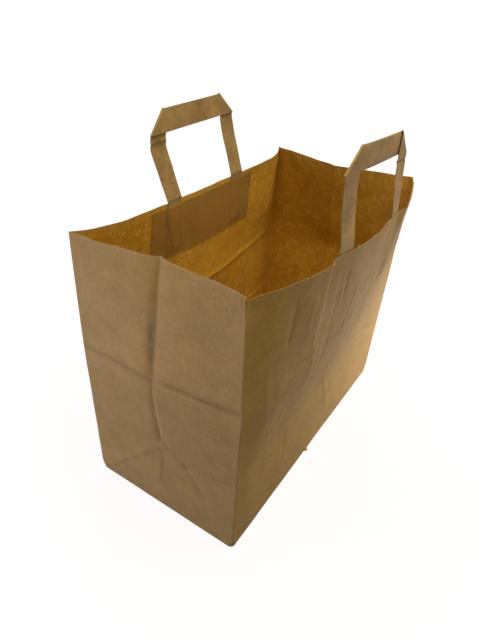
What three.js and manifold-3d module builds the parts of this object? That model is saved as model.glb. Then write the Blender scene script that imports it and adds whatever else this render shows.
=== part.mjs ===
// Paper carrier bag: a block-bottomed bag folded from one sheet of kraft paper, with a flat
// folded paper tape as a handle on each long wall, glued inside under a paper patch.
// Millimetres, +Z up. X runs along the long walls and Y through the depth, with the front wall
// at -Y. The origin is the middle of the base, on the surface that the bag stands on.

import * as THREE from 'three';
import { mergeVertices } from 'three/addons/utils/BufferGeometryUtils.js';
import Module from 'manifold-3d';

// The folded sheet
const BAG_WIDTH = 320; // long wall, fold to fold
const BAG_DEPTH = 165; // gusset, fold to fold
const BAG_HEIGHT = 270; // base to rim
const PAPER = 0.3; // one ply
const CLEARANCE = 0.3; // left for the glue between two pieces
const FLAP_OVERLAP = 12; // each bottom flap past the centre line of the base
const FLAP_INSET = 0.4; // bottom flaps back from the outer folds
const SEAM_WIDTH = 22; // glued lap of the tube, on the back wall beside a gusset

// Handles and patches
const HANDLE_WIDTH = 117; // outside to outside of the legs
const HANDLE_OFFSET = -7; // middle of the handles from the middle of the walls, along X
const HANDLE_RISE = 77; // rim to the top edge, along the tape
const TAPE_WIDTH = 19;
const TAPE_THICKNESS = 1;
const LEG_DEPTH = 45; // leg below the rim
const CREASE_RISE = 1; // where the tape leans over, above the rim
const FRONT_LEAN = 6.5; // degrees, positive into the bag
const BACK_LEAN = -16.5; // degrees, negative out of it
const PATCH_MARGIN = 20; // patch past the outer edges of the legs
const PATCH_DROP = 4.5; // patch top edge below the rim
const PATCH_FOOT = 11.5; // patch below the ends of the legs
const PATCH_RAMP = 4; // length over which the patch climbs onto a leg

// How the opened bag stands. The walls bow between their folds, each by its own amount at the
// creases half a depth and a whole depth up and at the rim, outwards positive, and the front
// wall is drawn back behind the legs of its handle.
const FRONT_BOW = { half: -5.5, whole: 12.5, rim: 30 };
const FRONT_FLATNESS = { half: 2.2, whole: 2.2, rim: 2.2 }; // the higher, the flatter the middle
const BACK_BOW = { half: -8, whole: -19, rim: -19 };
const BACK_FLATNESS = { half: 1.4, whole: 1.4, rim: 6 };
const RECESS_DEPTH = 4;
const RECESS_MARGIN = 6; // flat of the recess past the legs
const RECESS_RAMP = 7;
const RECESS_FADE = 30; // height over which it ends, below the patch
const LEFT_TUCK = { half: -2, whole: 7, rim: -9 }; // gusset's centre crease, outwards positive
const RIGHT_TUCK = { half: -2, whole: 5, rim: -20 };
const LEFT_CURL = { front: 0.3, back: 2 }; // powers of the rim line from corner to crease
const RIGHT_CURL = { front: 1, back: 1 };
const CORNER_LEAN = { // corner folds from straight above the base corners, as X and Y
  frontLeft: { whole: [0, 0], rim: [4, 5.5] },
  frontRight: { whole: [0, -1.5], rim: [-4, -2.5] },
  backRight: { whole: [0, 0], rim: [-7, -5.5] },
  backLeft: { whole: [0, 3], rim: [1, 1.5] },
};

// Facets
const WALL_STEPS = 26;
const GUSSET_STEPS = 4; // columns of half a gusset, and rows up to its triangle's apex
const BAR_STEPS = 10;
const ROW_STEP = 60; // greatest height of a row
const NEAREST = 1; // columns closer than this are one

// Levels across the sheet: the gusset triangles end half a depth up, the folded base has
// printed a crease a whole depth up, and the recess is full from the foot of the patch
const APEX_HEIGHT = BAG_DEPTH / 2;
const CREASE_HEIGHT = BAG_DEPTH;
const RECESS_FULL = BAG_HEIGHT - LEG_DEPTH - PATCH_FOOT;
const RECESS_START = RECESS_FULL - RECESS_FADE;
const UNDERSIDE = 2 * PAPER; // below it lie the two bottom flaps
const FLOOR = 3 * PAPER;

const KRAFT = new THREE.MeshStandardMaterial({ color: 0xb08a62, roughness: 0.85, metalness: 0 });
const TAPE_KRAFT = new THREE.MeshStandardMaterial({ color: 0xb78f66, roughness: 0.8, metalness: 0 });
const PATCH_KRAFT = new THREE.MeshStandardMaterial({ color: 0x9a7a5a, roughness: 0.9, metalness: 0 });

const { clamp, degToRad, lerp, mapLinear } = THREE.MathUtils;

// Value at a height, from those at the base, at the two printed creases and at the rim
function atHeight({ half, whole, rim, base = half }, z) {
  if (z <= APEX_HEIGHT) return mapLinear(z, 0, APEX_HEIGHT, base, half);
  if (z <= CREASE_HEIGHT) return mapLinear(z, APEX_HEIGHT, CREASE_HEIGHT, half, whole);
  return mapLinear(z, CREASE_HEIGHT, BAG_HEIGHT, whole, rim);
}

// Corner of the bag at a height
function corner(name, signX, signY, z) {
  const { whole, rim } = CORNER_LEAN[name];
  const [leanX, leanY] = whole.map((lean, axis) => (
    atHeight({ base: 0, half: lean / 2, whole: lean, rim: rim[axis] }, z)));
  return new THREE.Vector2((signX * BAG_WIDTH) / 2 + leanX, (signY * BAG_DEPTH) / 2 + leanY);
}
const frontLeft = (z) => corner('frontLeft', -1, -1, z);
const frontRight = (z) => corner('frontRight', 1, -1, z);
const backRight = (z) => corner('backRight', 1, 1, z);
const backLeft = (z) => corner('backLeft', -1, 1, z);

// Bow of a long wall: nothing at its folds and at the base, straight between the levels
function bow(depth, flatness, u, z) {
  const at = (level) => depth[level] * (1 - Math.abs(2 * u - 1) ** flatness[level]);
  return atHeight({ base: 0, half: at('half'), whole: at('whole'), rim: at('rim') }, z);
}

// How far the front wall stands back behind the handle
const RECESS_FLAT = HANDLE_WIDTH / 2 + RECESS_MARGIN;
const RECESS_END = RECESS_FLAT + RECESS_RAMP;
function recess(u, z) {
  const fromMiddle = Math.abs((u - 0.5) * BAG_WIDTH - HANDLE_OFFSET);
  const across = clamp((RECESS_END - fromMiddle) / RECESS_RAMP, 0, 1);
  const up = clamp((z - RECESS_START) / RECESS_FADE, 0, 1);
  return RECESS_DEPTH * across * up;
}

// Gusset fold: v runs from a corner, 0, to the centre crease, 1. Below the apex the fold lines
// run from the base corners at 45 degrees, and the triangle between them stays flat.
function tuckOut(tuck, curl, v, z) {
  const climb = Math.min(v, z / APEX_HEIGHT);
  const upper = Math.max(0, mapLinear(z, CREASE_HEIGHT, BAG_HEIGHT, 0, 1));
  return atHeight(tuck, z) * climb ** lerp(1, curl, upper);
}
function gusset(tuck, startCurl, endCurl) {
  return (u, z) => (u <= 0.5
    ? tuckOut(tuck, startCurl, 2 * u, z)
    : tuckOut(tuck, endCurl, 2 - 2 * u, z));
}

// The four panels of the tube, anticlockwise seen from above. Marks are the shares of a panel's
// width where its form breaks: the ramps of the recess, and the cut edge of the lap.
const FRONT = {
  start: frontLeft,
  end: frontRight,
  outward: [0, -1],
  steps: WALL_STEPS,
  marks: [-RECESS_END, -RECESS_FLAT, RECESS_FLAT, RECESS_END]
    .map((s) => 0.5 + (HANDLE_OFFSET + s) / BAG_WIDTH),
  out: (u, z) => bow(FRONT_BOW, FRONT_FLATNESS, u, z) - recess(u, z),
};
const RIGHT = {
  start: frontRight,
  end: backRight,
  outward: [1, 0],
  steps: 2 * GUSSET_STEPS,
  marks: [],
  out: gusset(RIGHT_TUCK, RIGHT_CURL.front, RIGHT_CURL.back),
};
const BACK = {
  start: backRight,
  end: backLeft,
  outward: [0, 1],
  steps: WALL_STEPS,
  marks: [SEAM_WIDTH, SEAM_WIDTH + PAPER].map((s) => s / BAG_WIDTH),
  out: (u, z) => bow(BACK_BOW, BACK_FLATNESS, u, z),
};
const LEFT = {
  start: backLeft,
  end: frontLeft,
  outward: [-1, 0],
  steps: 2 * GUSSET_STEPS,
  marks: [],
  out: gusset(LEFT_TUCK, LEFT_CURL.back, LEFT_CURL.front),
};

// Point of a panel's outer face at the share u of its width
function panelPoint(panel, u, z) {
  const outward = new THREE.Vector2(...panel.outward);
  return panel.start(z).lerp(panel.end(z), u).addScaledVector(outward, panel.out(u, z));
}

// Fixed values with the loose ones that keep clear of them, in order
function merged(fixed, loose, nearest) {
  const clear = loose.filter((value) => fixed.every((other) => Math.abs(value - other) > nearest));
  return [...fixed, ...clear].sort((a, b) => a - b);
}

// Shares of a panel's width at which it has a column of points, its start included
function stations(panel) {
  const even = Array.from({ length: panel.steps - 1 }, (_, i) => (i + 1) / panel.steps);
  const width = panel.outward[0] === 0 ? BAG_WIDTH : BAG_DEPTH;
  return merged([0, ...panel.marks], even, NEAREST / width);
}
const COLUMNS = [FRONT, RIGHT, BACK, LEFT]
  .flatMap((panel) => stations(panel).map((u) => ({ panel, u })));

// Heights of the rows of points, with one on each level
function heights(lowest) {
  const levels = [APEX_HEIGHT, CREASE_HEIGHT, RECESS_START, RECESS_FULL, BAG_HEIGHT];
  levels.sort((a, b) => a - b);
  const rows = [0];
  for (const level of levels) {
    const from = rows.at(-1);
    const steps = from === 0 ? GUSSET_STEPS : Math.ceil((level - from) / ROW_STEP);
    for (let i = 1; i <= steps; i += 1) rows.push(lerp(from, level, i / steps));
  }
  return [lowest, ...rows.slice(1)];
}

// Point moved to the left of the way from before to after, so that both edges move alike
function leftNormal(from, to) {
  const along = to.clone().sub(from).normalize();
  return new THREE.Vector2(-along.y, along.x);
}
function mitred(before, point, after, distance) {
  const first = leftNormal(before, point);
  const second = leftNormal(point, after);
  return first.clone().add(second).multiplyScalar(distance / (1 + first.dot(second))).add(point);
}

// Closed ring of points round the tube's outer face, where the lap is one ply proud, or round
// its inner face
function ring(z, inner) {
  const points = COLUMNS.map(({ panel, u }) => panelPoint(panel, u, z));
  return points.map((point, i) => {
    const { panel, u } = COLUMNS[i];
    const onLap = panel === BACK && u > 0 && u <= BACK.marks[0];
    const lift = onLap ? -PAPER : 0;
    const after = points[(i + 1) % points.length];
    const { x, y } = mitred(points.at(i - 1), point, after, inner ? PAPER : lift);
    return new THREE.Vector3(x, y, z);
  });
}

// Collects the triangles of a solid
class Skin {
  positions = [];

  triangle(a, b, c) {
    for (const p of [a, b, c]) this.positions.push(p.x, p.y, p.z);
  }

  // A quad split along its diagonal from a to c, or from b to d
  quad(a, b, c, d, split = 'ac') {
    if (split === 'ac') {
      this.triangle(a, b, c);
      this.triangle(a, c, d);
    } else {
      this.triangle(a, b, d);
      this.triangle(b, c, d);
    }
  }

  geometry() {
    const geometry = new THREE.BufferGeometry();
    geometry.setAttribute('position', new THREE.Float32BufferAttribute(this.positions, 3));
    return geometry;
  }
}

// The sheet itself: outer and inner faces of the tube, its rim, its floor and its underside.
// The quads of a gusset are split along its 45 degree folds.
function tubeGeometry() {
  const skin = new Skin();
  const outer = heights(UNDERSIDE).map((z) => ring(z, false));
  const inner = heights(FLOOR).map((z) => ring(z, true));
  COLUMNS.forEach(({ panel, u }, i) => {
    const j = (i + 1) % COLUMNS.length;
    const falling = panel.outward[0] !== 0 && u >= 0.5;
    for (let row = 1; row < outer.length; row += 1) {
      skin.quad(outer[row - 1][i], outer[row - 1][j], outer[row][j], outer[row][i],
        falling ? 'bd' : 'ac');
      skin.quad(inner[row - 1][j], inner[row - 1][i], inner[row][i], inner[row][j],
        falling ? 'ac' : 'bd');
    }
    skin.quad(outer.at(-1)[i], outer.at(-1)[j], inner.at(-1)[j], inner.at(-1)[i]);
  });
  for (const [a, b, c] of THREE.ShapeUtils.triangulateShape(inner[0], [])) {
    skin.triangle(inner[0][a], inner[0][b], inner[0][c]);
  }
  for (const [a, b, c] of THREE.ShapeUtils.triangulateShape(outer[0], [])) {
    skin.triangle(outer[0][a], outer[0][c], outer[0][b]);
  }
  return skin.geometry();
}

// Bottom flap folded in from the front wall, with its ends at 45 degrees from the base corners
function flapGeometry(bottom, top) {
  const halfWidth = BAG_WIDTH / 2 - FLAP_INSET;
  const halfDepth = BAG_DEPTH / 2 - FLAP_INSET;
  const reach = halfDepth + FLAP_OVERLAP;
  const shape = new THREE.Shape()
    .moveTo(-halfWidth, -halfDepth)
    .lineTo(halfWidth, -halfDepth)
    .lineTo(halfWidth - reach, FLAP_OVERLAP)
    .lineTo(-halfWidth + reach, FLAP_OVERLAP)
    .closePath();
  const geometry = new THREE.ExtrudeGeometry(shape, { depth: top - bottom, bevelEnabled: false });
  return geometry.translate(0, 0, bottom);
}

// Closed slab over a grid of points: place(i, j, face) gives the point of column i and row j on
// its outer face, 0, or its inner face, 1
function slabGeometry(columns, rows, place) {
  const skin = new Skin();
  const grid = (face) => Array.from({ length: columns }, (_, i) => (
    Array.from({ length: rows }, (__, j) => place(i, j, face))));
  const outer = grid(0);
  const inner = grid(1);
  const lastColumn = columns - 1;
  const lastRow = rows - 1;
  for (let i = 0; i < lastColumn; i += 1) {
    for (let j = 0; j < lastRow; j += 1) {
      skin.quad(outer[i][j], outer[i + 1][j], outer[i + 1][j + 1], outer[i][j + 1]);
      skin.quad(inner[i + 1][j], inner[i][j], inner[i][j + 1], inner[i + 1][j + 1], 'bd');
    }
    skin.quad(inner[i][0], inner[i + 1][0], outer[i + 1][0], outer[i][0]);
    skin.quad(outer[i][lastRow], outer[i + 1][lastRow], inner[i + 1][lastRow], inner[i][lastRow]);
  }
  for (let j = 0; j < lastRow; j += 1) {
    const k = j + 1;
    skin.quad(inner[0][j], outer[0][j], outer[0][k], inner[0][k]);
    skin.quad(outer[lastColumn][j], inner[lastColumn][j], inner[lastColumn][k], outer[lastColumn][k]);
  }
  return skin.geometry();
}

// Place inside a long wall: s runs along the wall from its middle, anticlockwise round the bag,
// z is the height and depth the distance inwards from the wall's outer face
const shareAt = (s) => 0.5 + s / BAG_WIDTH;
function insideWall(panel, s, z, depth) {
  const before = panelPoint(panel, shareAt(s - NEAREST), z);
  const after = panelPoint(panel, shareAt(s + NEAREST), z);
  const { x, y } = panelPoint(panel, shareAt(s), z).addScaledVector(leftNormal(before, after), depth);
  return new THREE.Vector3(x, y, z);
}

// Columns of a piece that lies on a wall: its own, and those of the wall between them
function columnsOn(panel, own) {
  const first = Math.min(...own);
  const last = Math.max(...own);
  const onWall = stations(panel).map((u) => (u - 0.5) * BAG_WIDTH);
  return merged(own, onWall.filter((s) => s > first && s < last), NEAREST);
}

// Rows of a piece on a wall, as rises from the rim: its own, and the levels between them
function rowsOn(own) {
  const levels = [CREASE_HEIGHT, RECESS_FULL].map((z) => z - BAG_HEIGHT);
  return merged(own, levels.filter((rise) => rise > own[0] && rise < own.at(-1)), NEAREST);
}

// Middle of a handle along its wall's own direction
const handleMiddle = (panel) => (panel === FRONT ? HANDLE_OFFSET : -HANDLE_OFFSET);

// Outer face of the tape inside the wall's outer face
const TAPE_DEPTH = PAPER + CLEARANCE;

// Place on a handle: s along the wall, rise along the tape from the rim, and depth as above.
// The tape lies along the wall up to its crease, and leans over from there.
function onHandle(panel, lean, s, rise, depth) {
  if (rise <= CREASE_RISE) return insideWall(panel, s, BAG_HEIGHT + rise, depth);
  const foot = insideWall(panel, s, BAG_HEIGHT + CREASE_RISE, TAPE_DEPTH);
  const angle = degToRad(lean);
  const [outX, outY] = panel.outward;
  const up = new THREE.Vector3(-outX * Math.sin(angle), -outY * Math.sin(angle), Math.cos(angle));
  const through = new THREE.Vector3(-outX * Math.cos(angle), -outY * Math.cos(angle), -Math.sin(angle));
  return foot.addScaledVector(up, rise - CREASE_RISE).addScaledVector(through, depth - TAPE_DEPTH);
}

// Leg of a handle, from its end under the patch to the 45 degree fold at its top
function legGeometry(panel, lean, from, foldRise) {
  const columns = columnsOn(panel, [from, from + TAPE_WIDTH]);
  const rows = rowsOn([-LEG_DEPTH, 0, CREASE_RISE]);
  return slabGeometry(columns.length, rows.length + 1, (i, j, face) => {
    const rise = j < rows.length ? rows[j] : foldRise(columns[i] - from);
    return onHandle(panel, lean, columns[i], rise, TAPE_DEPTH + face * TAPE_THICKNESS);
  });
}

// Flat tape handle, folded over at 45 degrees at both top corners, so that its bar lies on the
// inner side of its legs
function handleGeometry(panel, lean) {
  const start = handleMiddle(panel) - HANDLE_WIDTH / 2;
  const end = start + HANDLE_WIDTH;
  const shoulder = HANDLE_RISE - TAPE_WIDTH;
  const startLeg = legGeometry(panel, lean, start, (along) => shoulder + along);
  const endLeg = legGeometry(panel, lean, end - TAPE_WIDTH, (along) => HANDLE_RISE - along);
  const bury = TAPE_THICKNESS / 3; // bar into the legs at the folds
  const barDepths = [TAPE_DEPTH + TAPE_THICKNESS - bury, TAPE_DEPTH + 2 * TAPE_THICKNESS];
  const bar = slabGeometry(BAR_STEPS + 1, 2, (i, j, face) => {
    const inset = j * TAPE_WIDTH;
    const s = lerp(start + inset, end - inset, i / BAR_STEPS);
    return onHandle(panel, lean, s, shoulder + inset, barDepths[face]);
  });
  return joined([startLeg, endLeg, bar]);
}

// Patch over the legs of a handle: it lies on the wall between and beside the legs and climbs
// over each of them and over their ends
function patchGeometry(panel) {
  const middle = handleMiddle(panel);
  const legOut = HANDLE_WIDTH / 2;
  const legIn = legOut - TAPE_WIDTH;
  const halfEdges = [
    legIn - PATCH_RAMP, legIn - CLEARANCE, legOut + CLEARANCE, legOut + PATCH_RAMP,
    legOut + PATCH_MARGIN,
  ];
  const columns = columnsOn(panel, halfEdges.flatMap((s) => [middle - s, middle + s]));
  const rows = rowsOn([
    -LEG_DEPTH - PATCH_FOOT, -LEG_DEPTH - PATCH_RAMP, -LEG_DEPTH - CLEARANCE, -PATCH_DROP,
  ]);
  const ramp = PATCH_RAMP - CLEARANCE;
  const overLeg = (s) => {
    const fromMiddle = Math.abs(s - middle);
    const inside = Math.min(fromMiddle - legIn, legOut - fromMiddle);
    return clamp((inside + PATCH_RAMP) / ramp, 0, 1);
  };
  const overEnd = (rise) => clamp((rise + LEG_DEPTH + PATCH_RAMP) / ramp, 0, 1);
  return slabGeometry(columns.length, rows.length, (i, j, face) => {
    const climb = overLeg(columns[i]) * overEnd(rows[j]) * (TAPE_THICKNESS + CLEARANCE);
    const depth = TAPE_DEPTH + climb + face * PAPER;
    return insideWall(panel, columns[i], BAG_HEIGHT + rows[j], depth);
  });
}

// Boolean union of closed geometries
const wasm = await Module();
wasm.setup();
const WELD = 1e-4; // points closer than this are one
function solid(geometry) {
  const bare = geometry.clone();
  bare.deleteAttribute('normal');
  bare.deleteAttribute('uv');
  const welded = mergeVertices(bare, WELD);
  return new wasm.Manifold(new wasm.Mesh({
    numProp: 3,
    vertProperties: new Float32Array(welded.attributes.position.array),
    triVerts: new Uint32Array(welded.index.array),
  }));
}
function joined(geometries) {
  const mesh = geometries.map(solid).reduce((whole, piece) => whole.add(piece)).getMesh();
  const geometry = new THREE.BufferGeometry();
  geometry.setAttribute('position', new THREE.BufferAttribute(mesh.vertProperties, 3));
  geometry.setIndex(new THREE.BufferAttribute(mesh.triVerts, 1));
  return geometry;
}

// The bag body: the tube with its two bottom flaps, the one from the front wall outermost
function bodyGeometry() {
  const bury = PAPER / 2; // flaps into the base ply
  const outerFlap = flapGeometry(0, UNDERSIDE + bury);
  const innerFlap = flapGeometry(PAPER, UNDERSIDE + bury).rotateZ(Math.PI);
  return joined([tubeGeometry(), innerFlap, outerFlap]);
}

const bag = new THREE.Group();
function add(name, geometry, material) {
  const mesh = new THREE.Mesh(geometry, material);
  mesh.name = name;
  bag.add(mesh);
}
add('bag_body', bodyGeometry(), KRAFT);
add('front_handle', handleGeometry(FRONT, FRONT_LEAN), TAPE_KRAFT);
add('back_handle', handleGeometry(BACK, BACK_LEAN), TAPE_KRAFT);
add('front_patch', patchGeometry(FRONT), PATCH_KRAFT);
add('back_patch', patchGeometry(BACK), PATCH_KRAFT);

export default bag;
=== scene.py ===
"""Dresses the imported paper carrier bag: one folded kraft sheet, two tape handles, two patches.

The sheet is laid out in millimetres, as on a maker's drawing, and its meshes are in metres.
"""

import logging
import math
from dataclasses import dataclass, field
from enum import Enum
from typing import ClassVar

import bpy
import numpy as np
from mathutils import Matrix, Vector


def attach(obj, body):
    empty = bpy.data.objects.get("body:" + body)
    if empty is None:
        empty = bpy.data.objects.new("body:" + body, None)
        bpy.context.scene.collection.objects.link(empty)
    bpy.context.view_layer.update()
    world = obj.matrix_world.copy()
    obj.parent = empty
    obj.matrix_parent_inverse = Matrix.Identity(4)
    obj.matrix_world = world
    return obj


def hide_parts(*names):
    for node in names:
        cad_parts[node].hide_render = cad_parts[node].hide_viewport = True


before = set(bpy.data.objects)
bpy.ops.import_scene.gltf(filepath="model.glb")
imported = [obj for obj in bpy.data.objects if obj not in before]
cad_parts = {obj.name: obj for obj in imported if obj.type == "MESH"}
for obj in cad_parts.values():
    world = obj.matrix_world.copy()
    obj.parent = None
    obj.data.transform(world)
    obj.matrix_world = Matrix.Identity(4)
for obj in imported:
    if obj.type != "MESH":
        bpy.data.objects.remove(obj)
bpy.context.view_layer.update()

LOG = logging.getLogger("paper_bag")
MM = 0.001
BODY = "root"
WAVE_PHASE = 2.3
ON_FOLD = 0.01
TINY = 1e-6

Colour = tuple[float, float, float]
Place = tuple[float, float, float]
Spot = tuple[float, float]
Lengths = tuple[float, ...]


class Side(Enum):
    """Panels of the tube, anticlockwise seen from above, each with the way that it faces."""

    FRONT = (0.0, -1.0)
    RIGHT = (1.0, 0.0)
    BACK = (0.0, 1.0)
    LEFT = (-1.0, 0.0)


class Slot(Enum):
    """Material slots of the record."""

    BAG = "bag_kraft"
    TAPE = "handle_tape"
    PATCH = "patch_kraft"


class Attribute(Enum):
    """Mesh attributes that the sheets carry to the nodes and materials."""

    COCKLE = "cockle"
    PLY = "ply"
    # Rubbing, with painted light and painted shade along creases, folds and under the handles' bars.
    WEAR = "wear"
    INSIDE = "inside"
    CUT = "cut"


class Stretch(Enum):
    """Stretches of a handle's tape."""

    LEG = "leg"
    FOLD = "fold"
    BAR = "bar"


def smooth(value: np.ndarray) -> np.ndarray:
    """Eases a value from 0 to 1 and holds it beyond them."""
    held = np.clip(value, 0.0, 1.0)
    return held * held * (3.0 - 2.0 * held)


def bell(value: np.ndarray, reach: float) -> np.ndarray:
    """Gives 1 at 0, dying away over a reach to both sides."""
    return np.exp(-((value / reach) ** 2))


def waves(along: np.ndarray, lengths: Lengths, phase: np.ndarray | float) -> np.ndarray:
    """Sums a few sine waves into an even unrest.

    Args:
        along: Distance along the line, in millimetres.
        lengths: Wave lengths, in millimetres.
        phase: Where the waves start, which sets one line apart from another.

    Returns:
        Values between about -1 and 1.
    """
    total = sum(np.sin(2.0 * np.pi * along / length + phase * (WAVE_PHASE + k))
                for k, length in enumerate(lengths))
    return total / len(lengths)


@dataclass(frozen=True)
class Levels:
    """A measure at the two cross folds, half a depth and a whole depth up, at the rim and the base."""

    half: float
    whole: float
    rim: float
    base: float = 0.0


@dataclass(frozen=True)
class Crease:
    """A pressed or crumpled line on a panel.

    Attributes:
        side: Panel that it is on.
        start: First end, along the panel from its middle and up.
        end: Last end.
        lift: Height off the panel, outwards positive.
        spread: Reach to the left and to the right of the line, seen along it.
        wear: Rubbed light and painted light along the line, positive, or painted shade in it,
            negative.
        fade: Share of the length over which each end dies away.
        power: Power of its flanks: the higher, the sharper the line.
        wander: How far the line strays to its sides.
        wear_reach: Half the width of that rubbed and painted light line, or of the painted shade line.
        WANDER_WAVES: Wave lengths of its straying.
        BREAK_WAVES: Wave lengths with which its rubbing and painted shading come and go.
        BREAK_DEPTH: How far its rubbing and painted shading go.
    """

    side: Side
    start: Spot
    end: Spot
    lift: float
    spread: Spot = (5.0, 5.0)
    wear: float = 0.0
    fade: float = 0.12
    power: float = 1.4
    wander: float = 0.7
    wear_reach: float = 1.5
    WANDER_WAVES: ClassVar[Lengths] = (31.0, 53.0)
    BREAK_WAVES: ClassVar[Lengths] = (9.0, 17.0, 26.0)
    BREAK_DEPTH: ClassVar[float] = 0.28

    def shape(self, s: np.ndarray, z: np.ndarray) -> tuple[np.ndarray, np.ndarray]:
        """Gives the line's relief and its wear.

        Args:
            s: Distance along the panel from its middle.
            z: Height up the sheet.

        Returns:
            Relief in millimetres, and rubbing with painted shading, between -1 and 1.
        """
        start, end = np.array(self.start), np.array(self.end)
        length = float(np.linalg.norm(end - start))
        way = (end - start) / length
        along = ((s - start[0]) * way[0] + (z - start[1]) * way[1]) / length
        aside = (z - start[1]) * way[0] - (s - start[0]) * way[1]
        aside = aside + self.wander * waves(along * length, self.WANDER_WAVES, self.start[0])
        reach = np.where(aside > 0.0, self.spread[0], self.spread[1])
        held = smooth(along / self.fade) * smooth((1.0 - along) / self.fade)
        held = np.where((along > 0.0) & (along < 1.0), held, 0.0)
        relief = self.lift * np.maximum(0.0, 1.0 - np.abs(aside) / reach) ** self.power
        broken = 1.0 - self.BREAK_DEPTH * (1.0 - waves(along * length, self.BREAK_WAVES, self.end[1]))
        return relief * held, self.wear * bell(aside, self.wear_reach) * held * broken


@dataclass(frozen=True)
class Dent:
    """A soft hollow or swelling of a panel.

    Attributes:
        side: Panel that it is on.
        middle: Its middle, along the panel from its middle and up.
        reach: Its reach along the panel and up.
        lift: Height off the panel, outwards positive.
    """

    side: Side
    middle: Spot
    reach: Spot
    lift: float

    def shape(self, s: np.ndarray, z: np.ndarray) -> np.ndarray:
        """Gives the relief in millimetres at places on the panel."""
        across = bell(s - self.middle[0], self.reach[0])
        return self.lift * across * bell(z - self.middle[1], self.reach[1])


@dataclass(frozen=True)
class Crumple:
    """A field of fine wrinkles that run up a panel.

    Attributes:
        side: Panel that it is on.
        seed: Start of its chance numbers.
        count: How many wrinkles it has.
        along: Where they lie along the panel, from its middle.
        up: Where they lie up the panel.
        length: Their shortest and longest length.
        lift: Greatest height off the panel.
        slant: Greatest drift along the panel, over a wrinkle's length.
        lean: Drift that all of them share, for each millimetre of length.
        reach: Narrowest and widest flank of a wrinkle.
        LIFTS: Least and greatest share of the lift that a wrinkle has.
        WEAR: Rubbed light and painted highlight of the highest wrinkle; sunken wrinkles get none.
        FADE: Share of a wrinkle's length over which each end dies away.
    """

    side: Side
    seed: int
    count: int
    along: Spot
    up: Spot
    length: Spot
    lift: float
    slant: float
    lean: float = 0.0
    reach: Spot = (2.8, 6.5)
    LIFTS: ClassVar[Spot] = (0.35, 1.0)
    WEAR: ClassVar[float] = 0.16
    FADE: ClassVar[float] = 0.35

    def creases(self) -> tuple[Crease, ...]:
        """Gives the wrinkles.

        Returns:
            The wrinkles, as creases of the panel.
        """
        chance = np.random.default_rng(self.seed)
        found = []
        for _ in range(self.count):
            s = chance.uniform(*self.along)
            length = chance.uniform(*self.length)
            low = chance.uniform(self.up[0], self.up[1] - length)
            drift = chance.uniform(-self.slant, self.slant) + self.lean * length
            lift = self.lift * chance.uniform(*self.LIFTS) * chance.choice((-1.0, 1.0))
            spread = tuple(chance.uniform(*self.reach, 2))
            # Raised wrinkles get rubbed light and a painted highlight; sunken ones get none.
            wear = self.WEAR * max(lift, 0.0) / self.lift
            found.append(Crease(self.side, (s, low), (s + drift, low + length), lift, spread,
                                wear, self.FADE))
        return tuple(found)


# Each crease's sixth value paints light, positive, or shade, negative, along its line, with some
# rubbing.
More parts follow.
